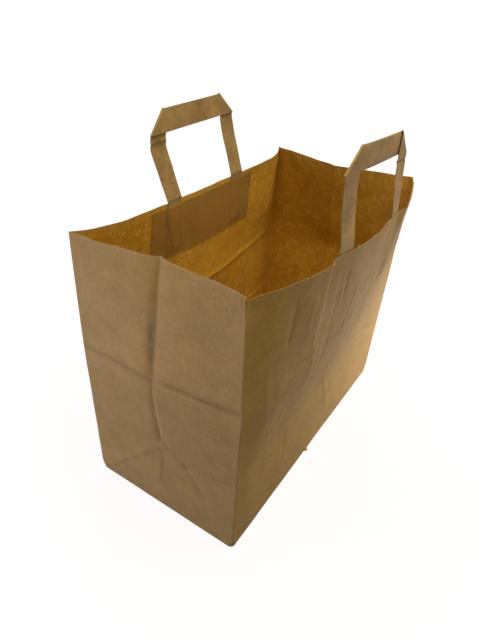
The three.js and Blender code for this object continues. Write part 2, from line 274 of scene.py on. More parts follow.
CREASES = (
    # Left gusset: the centre fold, the cross folds and the folded triangle.
    Crease(Side.LEFT, (0.0, 166.0), (0.0, 276.0), -3.6, (10.0, 24.0), -0.35, 0.05, 2.0, 0.2),
    Crease(Side.LEFT, (-1.0, 168.0), (-4.2, 214.0), -0.8, (4.0, 2.5), -1.0, 0.1, 1.4, 0.3),
    Crease(Side.LEFT, (-3.4, 196.0), (-2.6, 258.0), -0.5, (5.0, 3.0), -0.35, 0.3, 1.4, 0.4, 2.4),
    Crease(Side.LEFT, (0.0, 84.0), (0.0, 170.0), -1.5, (9.0, 14.0), 0.0, 0.06, 1.7, 0.3),
    Crease(Side.LEFT, (0.3, 169.0), (-2.6, 124.0), -0.9, (4.0, 4.0), -0.5, 0.1, 1.4, 0.3),
    Crease(Side.LEFT, (-2.6, 127.0), (0.3, 87.0), -0.9, (4.0, 4.0), -0.5, 0.1, 1.4, 0.3),
    Crease(Side.LEFT, (2.0, 158.0), (5.2, 95.0), 0.8, (5.0, 4.0), 0.5, 0.12, 1.4, 0.3),
    Crease(Side.LEFT, (-84.0, 160.0), (1.0, 166.0), -2.2, (6.0, 18.0), -0.5, 0.03, 1.5, 0.3, 2.2),
    Crease(Side.LEFT, (-1.0, 167.0), (84.0, 170.0), -2.4, (6.0, 18.0), -0.55, 0.03, 1.5, 0.3, 2.2),
    Crease(Side.LEFT, (2.0, 162.5), (56.0, 165.0), 0.4, (4.0, 4.0), 0.35, 0.15, 1.5, 0.4),
    Crease(Side.LEFT, (2.4, 80.0), (-1.4, 33.0), -0.6, (4.0, 4.0), -0.4, 0.15, 1.4, 0.4),
    Crease(Side.LEFT, (-17.0, 88.0), (0.5, 90.0), -0.6, (3.5, 3.5), -0.35, 0.15, 1.4, 0.3),
    Crease(Side.LEFT, (54.0, 79.0), (83.5, 89.5), -0.7, (4.0, 4.0), -0.35, 0.1, 1.5, 0.5),
    Crease(Side.LEFT, (2.0, 86.0), (-80.0, 3.0), 1.0, (4.0, 8.0), 0.1, 0.05, 1.5, 0.5),
    Crease(Side.LEFT, (0.0, 89.5), (31.0, 70.0), -1.3, (10.0, 5.0), -0.5, 0.05, 1.5, 0.2, 1.8),
    Crease(Side.LEFT, (22.0, 76.0), (52.0, 43.0), -1.2, (10.0, 5.0), -0.5, 0.12, 1.5, 0.2, 1.8),
    Crease(Side.LEFT, (44.0, 52.0), (80.0, 3.0), 0.5, (7.0, 4.0), 0.0, 0.1, 1.5, 0.5),
    # Front wall: its two cross folds, and the wrinkles round the handle and below it.
    Crease(Side.FRONT, (-161.0, 90.0), (-98.0, 95.0), -0.9, (5.0, 6.0), 0.45, 0.1),
    Crease(Side.FRONT, (-68.0, 101.0), (98.0, 98.0), -1.3, (5.0, 5.0), 0.75, 0.1, 1.4, 1.6),
    Crease(Side.FRONT, (90.0, 99.0), (160.0, 76.0), -1.3, (5.0, 5.0), 0.75, 0.08, 1.4, 1.0),
    Crease(Side.FRONT, (-36.0, 177.0), (-114.0, 181.0), -0.9, (5.0, 6.0), -0.12, 0.15),
    Crease(Side.FRONT, (-8.0, 190.0), (-42.0, 176.0), -0.9, (4.0, 5.0), -0.12, 0.15),
    Crease(Side.FRONT, (4.0, 184.0), (150.0, 170.0), -0.9, (4.0, 5.0), 0.35, 0.2),
    Crease(Side.FRONT, (-52.0, 264.0), (-50.0, 130.0), -0.45, (7.0, 6.0), 0.1, 0.2),
    Crease(Side.FRONT, (-83.0, 270.0), (-82.0, 215.0), 0.3, (6.0, 5.0), 0.1, 0.2),
    Crease(Side.FRONT, (-92.0, 254.0), (-93.0, 203.0), 0.4, (4.0, 4.0), 0.15, 0.25),
    Crease(Side.FRONT, (-79.0, 234.0), (-62.0, 116.0), 0.5, (4.0, 5.0), 0.15, 0.2, 1.4, 2.2),
    Crease(Side.FRONT, (-45.0, 256.0), (-37.0, 216.0), -0.85, (4.0, 4.0), -0.1, 0.25),
    Crease(Side.FRONT, (-114.0, 254.0), (-118.0, 208.0), -0.8, (6.0, 6.0), -0.2, 0.25),
    Crease(Side.FRONT, (57.0, 228.0), (44.0, 136.0), -0.7, (5.0, 5.0), 0.1, 0.25),
    Crease(Side.FRONT, (-8.0, 228.0), (-22.0, 172.0), 0.8, (4.0, 4.0), 0.2, 0.25),
    Crease(Side.FRONT, (-13.0, 212.0), (-27.0, 162.0), -0.7, (4.0, 4.0), -0.1, 0.25),
    Crease(Side.FRONT, (22.0, 244.0), (6.0, 188.0), -0.7, (4.0, 5.0), -0.08, 0.25),
    Crease(Side.FRONT, (35.0, 190.0), (46.0, 110.0), 0.75, (4.0, 4.0), 0.2, 0.25),
    Crease(Side.FRONT, (15.0, 94.0), (36.0, 20.0), 0.7, (5.0, 5.0), 0.2, 0.2),
    Crease(Side.FRONT, (-68.0, 80.0), (-75.0, 34.0), -0.8, (5.0, 5.0), -0.15, 0.25),
    Crease(Side.FRONT, (34.0, 262.0), (22.0, 148.0), -0.6, (13.0, 11.0), 0.08, 0.25),
    Crease(Side.FRONT, (104.0, 250.0), (92.0, 128.0), 0.7, (15.0, 12.0), 0.05, 0.3),
    Crease(Side.FRONT, (49.0, 264.0), (68.0, 190.0), 1.6, (40.0, 14.0), 0.0, 0.2, 1.2, 0.8),
    # Back wall: its two cross folds and two soft wrinkles.
    Crease(Side.BACK, (-162.0, 165.0), (162.0, 165.0), -1.1, (9.0, 5.0), 0.6, 0.02, 1.8),
    Crease(Side.BACK, (-162.0, 84.0), (162.0, 84.0), -0.8, (5.0, 5.0), 0.45, 0.02),
    Crease(Side.BACK, (90.0, 250.0), (96.0, 140.0), 0.8, (12.0, 10.0), 0.05, 0.3),
    Crease(Side.BACK, (-60.0, 150.0), (-76.0, 84.0), -0.8, (10.0, 12.0), 0.05, 0.3),
    # Right gusset: the centre fold, the cross folds and the folded triangle.
    Crease(Side.RIGHT, (0.0, 160.0), (0.0, 276.0), -1.4, (12.0, 10.0), 0.1, 0.05, 1.6, 0.2),
    Crease(Side.RIGHT, (0.0, 82.0), (0.0, 167.0), -1.2, (8.0, 8.0), 0.1, 0.1, 1.5, 0.3),
    Crease(Side.RIGHT, (-84.0, 165.0), (84.0, 165.0), -0.6, (14.0, 14.0), 0.15, 0.03, 1.2),
    Crease(Side.RIGHT, (48.0, 157.0), (18.0, 145.0), 0.5, (4.0, 5.0), 0.2, 0.2),
    Crease(Side.RIGHT, (-84.0, 85.5), (0.0, 85.5), -0.8, (5.0, 5.0), 0.35, 0.05),
    Crease(Side.RIGHT, (2.0, 86.0), (-80.0, 3.0), 0.6, (4.0, 5.0), 0.3, 0.05),
    Crease(Side.RIGHT, (-2.0, 86.0), (80.0, 3.0), 0.6, (5.0, 4.0), 0.3, 0.05),
    # Fine wrinkles of all four panels.
    *Crumple(Side.FRONT, 11, 18, (-135.0, 125.0), (70.0, 266.0), (30.0, 90.0), 0.38, 14.0).creases(),
    *Crumple(Side.FRONT, 15, 40, (-108.0, 70.0), (104.0, 267.0), (18.0, 55.0), 0.42, 4.0, 0.18,
             (1.8, 3.6)).creases(),
    *Crumple(Side.LEFT, 12, 7, (-70.0, 70.0), (40.0, 262.0), (25.0, 60.0), 0.22, 12.0).creases(),
    *Crumple(Side.BACK, 13, 14, (-140.0, 140.0), (30.0, 205.0), (35.0, 90.0), 0.35, 12.0).creases(),
    *Crumple(Side.RIGHT, 14, 8, (-70.0, 70.0), (40.0, 262.0), (25.0, 60.0), 0.3, 12.0).creases(),
)
DENTS = (
    Dent(Side.FRONT, (-136.0, 165.0), (30.0, 110.0), 2.2),
    Dent(Side.FRONT, (-138.0, 92.0), (24.0, 40.0), 1.3),
    Dent(Side.FRONT, (-60.0, 40.0), (34.0, 22.0), 0.9),
    Dent(Side.FRONT, (70.0, 45.0), (40.0, 24.0), -0.8),
    Dent(Side.FRONT, (118.0, 215.0), (18.0, 34.0), 0.4),
    Dent(Side.LEFT, (-44.0, 42.0), (40.0, 26.0), 1.2),
    Dent(Side.LEFT, (-45.0, 215.0), (22.0, 34.0), 0.9),
    Dent(Side.LEFT, (30.0, 232.0), (22.0, 45.0), 0.9),
    Dent(Side.LEFT, (44.0, 125.0), (20.0, 24.0), 0.8),
    Dent(Side.LEFT, (-40.0, 118.0), (22.0, 20.0), -0.7),
    Dent(Side.LEFT, (-46.0, 250.0), (3.5, 4.5), -0.5),
    Dent(Side.LEFT, (52.0, 208.0), (6.0, 4.0), -0.35),
    Dent(Side.LEFT, (24.0, 192.0), (5.0, 8.0), 0.35),
    Dent(Side.BACK, (-124.0, 52.0), (50.0, 80.0), -5.5),
    Dent(Side.BACK, (70.0, 100.0), (40.0, 34.0), 1.2),
    Dent(Side.BACK, (-110.0, 210.0), (26.0, 40.0), -1.0),
    Dent(Side.RIGHT, (40.0, 210.0), (20.0, 36.0), 1.0),
    Dent(Side.RIGHT, (-42.0, 120.0), (22.0, 28.0), -0.9),
)


@dataclass(frozen=True)
class FoldedTube:
    """The gusseted tube that the sheet is folded into: where each place of it stands.

    Attributes:
        width: Long wall, fold to fold.
        depth: Gusset, fold to fold.
        height: Base to rim.
        paper: Thickness of one ply.
        front_bow: Bow of the front wall, outwards positive.
        front_flatness: Powers of that bow: the higher, the flatter its middle.
        back_bow: Bow of the back wall.
        back_flatness: Powers of that bow.
        left_tuck: Centre crease of the left gusset, outwards positive.
        right_tuck: Centre crease of the right gusset.
        left_curl: Powers of the left gusset's rim line, from its ends to the crease.
        right_curl: Powers of the right gusset's rim line.
        front_left: Lean of this corner fold at the upper cross fold and at the rim.
        front_right: Lean of the next corner fold, anticlockwise.
        back_right: Lean of the third corner fold.
        back_left: Lean of the last corner fold.
        recess_depth: How far the front wall stands back behind its handle.
        recess_ramps: Widths of the recess's two slopes.
        recess_reach: Reach of the recess to both sides of its middle.
        recess_start: Height at which it starts.
        recess_fade: Height over which it deepens.
        recess_middle: Its middle, along the wall.
        unrest: Height of a panel's soft waves.
        waves_along: Lengths of the waves along a panel.
        waves_up: Lengths of the waves up a panel.
        waves_slant: Slant of both kinds of waves.
        fold_hold: Power with which the relief dies out at the folds.
        foot_hold: Share of the relief that is left at the base.
        foot_height: Height over which the relief comes up from there.
        rim_unrest: Height of the cut rim's waves.
        rim_waves: Lengths of the cut rim's waves.
        rim_from: Height from which the sheet follows them.
        rim_steps: Steps of the front wall's rim, along it and up.
        steps_from: Height from which the sheet follows the steps.
        worn_dip: How far the worn front left fold is lower at the rim.
        worn_round: Width over which its corner is rounded.
        worn_shift: How far it is pushed, in plan.
        worn_reach: Reach of its wear to both sides.
        worn_from: Height from which it is worn.
        lap_width: Glued lap of the tube, on the back wall.
        STEP: Distance over which the way along a panel is taken.
    """

    width: float = 320.0
    depth: float = 165.0
    height: float = 270.0
    paper: float = 0.3
    front_bow: Levels = Levels(-5.5, 12.5, 30.0)
    front_flatness: Levels = Levels(2.2, 2.2, 2.2)
    back_bow: Levels = Levels(-8.0, -19.0, -19.0)
    back_flatness: Levels = Levels(1.4, 1.4, 6.0)
    left_tuck: Levels = Levels(-2.0, 7.0, -9.0, -2.0)
    right_tuck: Levels = Levels(-2.0, 5.0, -20.0, -2.0)
    left_curl: Spot = (2.0, 0.3)
    right_curl: Spot = (1.0, 1.0)
    front_left: tuple[Spot, Spot] = ((0.0, 0.0), (4.0, 5.5))
    front_right: tuple[Spot, Spot] = ((0.0, -1.5), (-4.0, -2.5))
    back_right: tuple[Spot, Spot] = ((0.0, 0.0), (-7.0, -5.5))
    back_left: tuple[Spot, Spot] = ((0.0, 3.0), (1.0, 1.5))
    recess_depth: float = 4.0
    recess_ramps: Spot = (7.0, 15.0)
    recess_reach: Spot = (71.5, 76.0)
    recess_start: float = 183.5
    recess_fade: float = 80.0
    recess_middle: float = -7.0
    unrest: float = 0.55
    waves_along: Lengths = (61.0, 97.0, 143.0)
    waves_up: Lengths = (74.0, 118.0)
    waves_slant: Spot = (0.35, 0.25)
    fold_hold: int = 12
    foot_hold: float = 0.3
    foot_height: float = 14.0
    rim_unrest: float = 0.45
    rim_waves: Lengths = (47.0, 83.0, 29.0)
    rim_from: float = 215.0
    rim_steps: tuple[Spot, ...] = (
        (-44.0, 0.0), (-38.0, 1.8), (-34.0, -0.3), (-8.0, -0.9), (8.0, -1.2), (13.0, 1.6),
        (22.0, 1.8), (34.0, 0.6), (50.0, 0.0))
    steps_from: float = 262.0
    worn_dip: float = 3.0
    worn_round: float = 6.0
    worn_shift: Spot = (-1.0, 1.6)
    worn_reach: float = 7.0
    worn_from: float = 245.0
    lap_width: float = 22.0
    STEP: ClassVar[float] = 1.0

    @property
    def heights(self) -> Lengths:
        """Gives the heights of the base, of the two cross folds and of the rim."""
        return 0.0, self.depth / 2.0, self.depth, self.height

    def panel_width(self, side: Side) -> float:
        """Gives a panel's width, fold to fold."""
        return self.width if side in (Side.FRONT, Side.BACK) else self.depth

    def at(self, levels: Levels, z: np.ndarray) -> np.ndarray:
        """Gives a measure at heights, straight between its levels."""
        return np.interp(z, self.heights, (levels.base, levels.half, levels.whole, levels.rim))

    def corner(self, sign: Spot, lean: tuple[Spot, Spot], z: np.ndarray) -> np.ndarray:
        """Gives a corner fold at heights.

        Args:
            sign: Which corner, as signs along X and Y.
            lean: Its lean at the upper cross fold and at the rim.
            z: Heights.

        Returns:
            Points in plan.
        """
        half = (self.width / 2.0, self.depth / 2.0)
        parts = [sign[k] * half[k]
                 + self.at(Levels(lean[0][k] / 2.0, lean[0][k], lean[1][k]), z) for k in (0, 1)]
        return np.stack(parts, axis=-1)

    def ends(self, side: Side, z: np.ndarray) -> tuple[np.ndarray, np.ndarray]:
        """Gives the two corner folds of a panel at heights, anticlockwise.

        Args:
            side: The panel.
            z: Heights.

        Returns:
            Points in plan of its first and of its last fold.
        """
        corners = (
            self.corner((-1.0, -1.0), self.front_left, z),
            self.corner((1.0, -1.0), self.front_right, z),
            self.corner((1.0, 1.0), self.back_right, z),
            self.corner((-1.0, 1.0), self.back_left, z),
        )
        first = list(Side).index(side)
        return corners[first], corners[(first + 1) % len(corners)]

    def bow(self, depth: Levels, flatness: Levels, u: np.ndarray, z: np.ndarray) -> np.ndarray:
        """Gives the bow of a long wall between its folds.

        Args:
            depth: Bow at the middle of the wall, outwards positive.
            flatness: Powers of its outline: the higher, the flatter the middle.
            u: Shares of the wall's width.
            z: Heights.

        Returns:
            Distance outwards, in millimetres.
        """
        off = np.abs(2.0 * u - 1.0)
        bows = [np.zeros_like(off)]
        for name in ("half", "whole", "rim"):
            bows.append(getattr(depth, name) * (1.0 - off ** getattr(flatness, name)))
        out = bows[0]
        for low, high, below, above in zip(self.heights, self.heights[1:], bows, bows[1:]):
            share = np.clip((z - low) / (high - low), 0.0, 1.0)
            out = np.where(z >= low, below + (above - below) * share, out)
        return out

    def recess(self, s: np.ndarray, z: np.ndarray) -> np.ndarray:
        """Gives how far the front wall stands back behind its handle.

        Args:
            s: Distance along the wall from its middle.
            z: Heights.

        Returns:
            Distance inwards, in millimetres.
        """
        off = s - self.recess_middle
        left = (self.recess_reach[0] + off) / self.recess_ramps[0]
        right = (self.recess_reach[1] - off) / self.recess_ramps[1]
        up = (z - self.recess_start) / self.recess_fade
        return self.recess_depth * smooth(np.minimum(left, right)) * np.clip(up, 0.0, 1.0)

    def tuck(self, levels: Levels, curl: Spot, u: np.ndarray, z: np.ndarray) -> np.ndarray:
        """Gives the fold of a gusset off its flat.

        Args:
            levels: Its centre crease at each level, outwards positive.
            curl: Powers of the rim line from the panel's start and end to the crease.
            u: Shares of the gusset's width.
            z: Heights.

        Returns:
            Distance outwards, in millimetres.
        """
        near = 1.0 - np.abs(2.0 * u - 1.0)
        climb = np.minimum(near, z / (self.depth / 2.0))
        upper = np.clip((z - self.depth) / (self.height - self.depth), 0.0, 1.0)
        power = 1.0 + (np.where(u <= 0.5, curl[0], curl[1]) - 1.0) * upper
        return self.at(levels, z) * np.maximum(climb, TINY) ** power

    def relief(self, side: Side, s: np.ndarray, z: np.ndarray) -> tuple[np.ndarray, np.ndarray]:
        """Gathers the wrinkles of a panel.

        Args:
            side: The panel.
            s: Distance along it from its middle.
            z: Heights.

        Returns:
            Relief in millimetres, and the creases' rubbing with painted shading, between -1 and 1.
        """
        off = np.abs(2.0 * s / self.panel_width(side))
        foot = self.foot_hold + (1.0 - self.foot_hold) * smooth(z / self.foot_height)
        held = (1.0 - np.clip(off, 0.0, 1.0) ** self.fold_hold) * foot
        phase = 1.0 + list(Side).index(side)
        lift = self.unrest * waves(s + self.waves_slant[0] * z, self.waves_along, phase)
        rising = waves(z - self.waves_slant[1] * s, self.waves_up, phase + len(Side))
        lift = lift + self.unrest * rising
        # Gathers the creases' rubbing with their painted light and shade.
        worn = np.zeros_like(lift)
        for crease in CREASES:
            if crease.side is side:
                raised, rubbed = crease.shape(s, z)
                lift = lift + raised
                worn = worn + rubbed
        for dent in DENTS:
            if dent.side is side:
                lift = lift + dent.shape(s, z)
        return lift * held, np.clip(worn, -1.0, 1.0)

    def outline(self, side: Side, s: np.ndarray, z: np.ndarray,
                worn: np.ndarray | float = 1.0) -> np.ndarray:
        """Gives places of a panel's outer face in plan.

        Args:
            side: The panel.
            s: Distance along it from its middle.
            z: Heights up the sheet.
            worn: Share of the wrinkles that is followed.

        Returns:
            Points in plan, in millimetres.
        """
        u = np.clip(0.5 + s / self.panel_width(side), 0.0, 1.0)
        start, end = self.ends(side, z)
        if side is Side.FRONT:
            out = self.bow(self.front_bow, self.front_flatness, u, z) - self.recess(s, z)
        elif side is Side.BACK:
            out = self.bow(self.back_bow, self.back_flatness, u, z)
        elif side is Side.RIGHT:
            out = self.tuck(self.right_tuck, self.right_curl, u, z)
        else:
            out = self.tuck(self.left_tuck, self.left_curl, u, z)
        out = out + worn * self.relief(side, s, z)[0]
        chord = start + (end - start) * u[..., None]
        chord = chord + np.array(self.worn_shift) * (worn * self.worn_corner(side, s, z))[..., None]
        return chord + np.array(side.value) * out[..., None]

    def _rising(self, z: np.ndarray, start: float) -> np.ndarray:
        """Eases from 0 at a height to 1 at the rim."""
        return smooth((z - start) / (self.height - start))

    def raised(self, side: Side, s: np.ndarray, z: np.ndarray) -> np.ndarray:
        """Gives true heights of places, with the small unrest and steps of the cut rim.

        Args:
            side: The panel.
            s: Distance along it from its middle.
            z: Heights up the sheet.

        Returns:
            Heights in space, in millimetres.
        """
        lift = self.rim_unrest * waves(s, self.rim_waves, 2.0 + list(Side).index(side))
        lift = lift * self._rising(z, self.rim_from)
        if side is Side.FRONT:
            steps = np.interp(s, *np.transpose(self.rim_steps))
            lift = lift + steps * self._rising(z, self.steps_from)
        dip = self.worn_corner(side, s, z)
        if side is Side.LEFT:
            near = np.clip(1.0 - (self.depth / 2.0 - s) / self.worn_round, 0.0, 1.0)
            dip = dip * (1.0 - np.sqrt(1.0 - near ** 2))
        return z + lift - self.worn_dip * dip

    def worn_corner(self, side: Side, s: np.ndarray, z: np.ndarray) -> np.ndarray:
        """Gives 1 at the rim of the front left fold, which is worn round, and 0 away from it.

        Args:
            side: The panel.
            s: Distance along it from its middle.
            z: Heights.

        Returns:
            How worn the places are, between 0 and 1.
        """
        if side not in (Side.FRONT, Side.LEFT):
            return np.zeros_like(s)
        half = self.panel_width(side) / 2.0
        from_fold = half + s if side is Side.FRONT else half - s
        return bell(from_fold, self.worn_reach) * self._rising(z, self.worn_from)

    def place(self, side: Side, s: np.ndarray, z: np.ndarray, inward: np.ndarray,
              worn: np.ndarray | float = 1.0) -> np.ndarray:
        """Gives places at a distance inside a panel's outer face.

        Args:
            side: The panel.
            s: Distance along it from its middle.
            z: Heights up the sheet.
            inward: Distances inwards.
            worn: Share of the wrinkles and of the rim's unrest that is followed.

        Returns:
            Points in space, in millimetres.
        """
        ahead, behind = (self.outline(side, s + step, z, worn) for step in (self.STEP, -self.STEP))
        way = (ahead - behind) / np.linalg.norm(ahead - behind, axis=-1, keepdims=True)
        normal = np.stack([-way[..., 1], way[..., 0]], axis=-1)
        plan = self.outline(side, s, z, worn) + normal * inward[..., None]
        height = z + worn * (self.raised(side, s, z) - z)
        return np.concatenate([plan, height[..., None]], axis=-1)


@dataclass(frozen=True)
class HandleSize:
    """Sizes that the handles and the patches over their legs share.

    Attributes:
        offset: Middle of the handles from the middle of the walls, along X.
        width: Outside to outside of the legs.
        rise: Rim to the top edge, along the tape.
        tape: Width of the tape.
        leg_depth: Reach of a leg below the rim.
    """

    offset: float = -7.0
    width: float = 117.0
    rise: float = 77.0
    tape: float = 19.0
    leg_depth: float = 45.0

    def middle(self, side: Side) -> float:
        """Gives the middle of a wall's handle, along the wall's own way round the tube."""
        return self.offset if side is Side.FRONT else -self.offset

    def across(self, side: Side, share: np.ndarray | float,
               from_start: bool) -> np.ndarray | float:
        """Gives places along a wall, across a leg.

        Args:
            side: The wall.
            share: Shares of the tape's width, from the leg's outer edge.
            from_start: Whether it is the leg at the start of the wall's way.

        Returns:
            Distances along the wall from its middle.
        """
        out = self.width / 2.0 - self.tape * share
        return self.middle(side) - out if from_start else self.middle(side) + out

    def fold_rise(self, share: np.ndarray) -> np.ndarray:
        """Gives the height of a corner fold over the rim, at shares of the tape's width."""
        return self.rise - self.tape + self.tape * share


@dataclass
class Sheet:
    """A sheet without thickness.

    Attributes:
        points: Its points, in millimetres.
        faces: Its faces, by the numbers of their points.
        values: Attributes of the points.
    """

    points: np.ndarray
    faces: list[tuple[int, ...]]
    values: dict[Attribute, np.ndarray] = field(default_factory=dict)

    @classmethod
    def grid(cls, points: np.ndarray, closed: bool = False, turned: bool = False) -> "Sheet":
        """Makes a sheet of rows of points.

        Args:
            points: Rows by columns by three.
            closed: Whether the last column joins the first.
            turned: Whether the faces look the other way.

        Returns:
            The sheet.
        """
        rows, columns = points.shape[:2]
        last = columns if closed else columns - 1
        faces = []
        for row in range(rows - 1):
            low, high = row * columns, (row + 1) * columns
            for column in range(last):
                after = (column + 1) % columns
                face = (low + column, low + after, high + after, high + column)
                faces.append(face[::-1] if turned else face)
        return cls(points.reshape(-1, 3), faces)

    def valued(self, wear: np.ndarray | float, cockle: np.ndarray | float,
               ply: np.ndarray | float = 1.0) -> "Sheet":
        """Sets the attributes of all points.

        Args:
            wear: Rubbed light and painted light, positive, or painted shade, negative.
            cockle: Share of the cockle that the points follow.
            ply: Share of the paper's thickness.

        Returns:
            The sheet itself.
        """
        given = {Attribute.WEAR: wear, Attribute.COCKLE: cockle, Attribute.PLY: ply}
        for name, value in given.items():
            self.values[name] = np.broadcast_to(np.asarray(value, float).ravel(), len(self.points))
        return self

    @classmethod
    def joined(cls, sheets: list["Sheet"]) -> "Sheet":
        """Lays several sheets into one.

        Args:
            sheets: The sheets, all with the same attributes.

        Returns:
            The one sheet.
        """
        faces, first = [], 0
        for sheet in sheets:
            faces += [tuple(index + first for index in face) for face in sheet.faces]
            first += len(sheet.points)
        values = {name: np.concatenate([sheet.values[name] for sheet in sheets])
                  for name in sheets[0].values}
        return cls(np.concatenate([sheet.points for sheet in sheets]), faces, values)

    def piece(self, name: str) -> bpy.types.Object:
        """Makes a Blender object of the sheet.

        Args:
            name: The object's name.

        Returns:
            The object, at the origin, with its place in its mesh.
        """
        mesh = bpy.data.meshes.new(name)
        mesh.from_pydata((self.points * MM).tolist(), [], self.faces)
        for attribute, value in self.values.items():
            layer = mesh.attributes.new(attribute.value, "FLOAT", "POINT")
            layer.data.foreach_set("value", np.ascontiguousarray(value, dtype=np.float32))
        mesh.update()
        piece = bpy.data.objects.new(name, mesh)
        bpy.context.scene.collection.objects.link(piece)
        return piece


class Wiring:
    """Short ways to add nodes to a tree and to link them."""

    MIX_FIRST = 6
    MIX_SECOND = 7
    MIX_RESULT = 2

    def __init__(self, tree: bpy.types.NodeTree) -> None:
        """Takes the tree that is wired."""
        self.tree = tree

    def join(self, value: object, socket: bpy.types.NodeSocket) -> None:
        """Links an output to an input, or sets the input to a value.

        Args:
            value: The output, or the value.
            socket: The input.
        """
        if isinstance(value, bpy.types.NodeSocket):
            self.tree.links.new(value, socket)
        else:
            socket.default_value = value

    def node(self, kind: str, inputs: dict[str | int, object] | None = None,
             **settings: object) -> bpy.types.Node:
        """Adds a node.

        Args:
            kind: The node's type.
            inputs: Outputs to link and values to set, by the name or number of the input.
            settings: Settings of the node itself.

        Returns:
            The node.
        """
        node = self.tree.nodes.new(kind)
        for name, value in settings.items():
            setattr(node, name, value)
        for key, value in (inputs or {}).items():
            self.join(value, node.inputs[key])
        return node

    def result(self, kind: str, inputs: dict[str | int, object] | None = None,
               **settings: object) -> bpy.types.NodeSocket:
        """Adds a node and gives its first output."""
        return self.node(kind, inputs, **settings).outputs[0]

    def math(self, operation: str, *values: object) -> bpy.types.NodeSocket:
        """Adds a math node on outputs or numbers, and gives its own output."""
        return self.result("ShaderNodeMath", dict(enumerate(values)), operation=operation)

    def ranged(self, value: object, old: Spot, new: Spot) -> bpy.types.NodeSocket:
        """Maps a value from one range to another, and holds it inside the new one."""
        ends = zip(("From Min", "From Max", "To Min", "To Max"), (*old, *new))
        return self.result("ShaderNodeMapRange", {"Value": value, **dict(ends)})

    def mix(self, share: object, first: object, second: object) -> bpy.types.NodeSocket:
        """Mixes two colours.

        Args:
            share: Share of the second colour.
            first: An output, or a plain colour.
            second: An output, or a plain colour.

        Returns:
            The mixed colour.
        """
        colours = [(*colour, 1.0) if isinstance(colour, tuple) else colour
                   for colour in (first, second)]
        inputs = {"Factor": share, self.MIX_FIRST: colours[0], self.MIX_SECOND: colours[1]}
        return self.node("ShaderNodeMix", inputs, data_type="RGBA").outputs[self.MIX_RESULT]


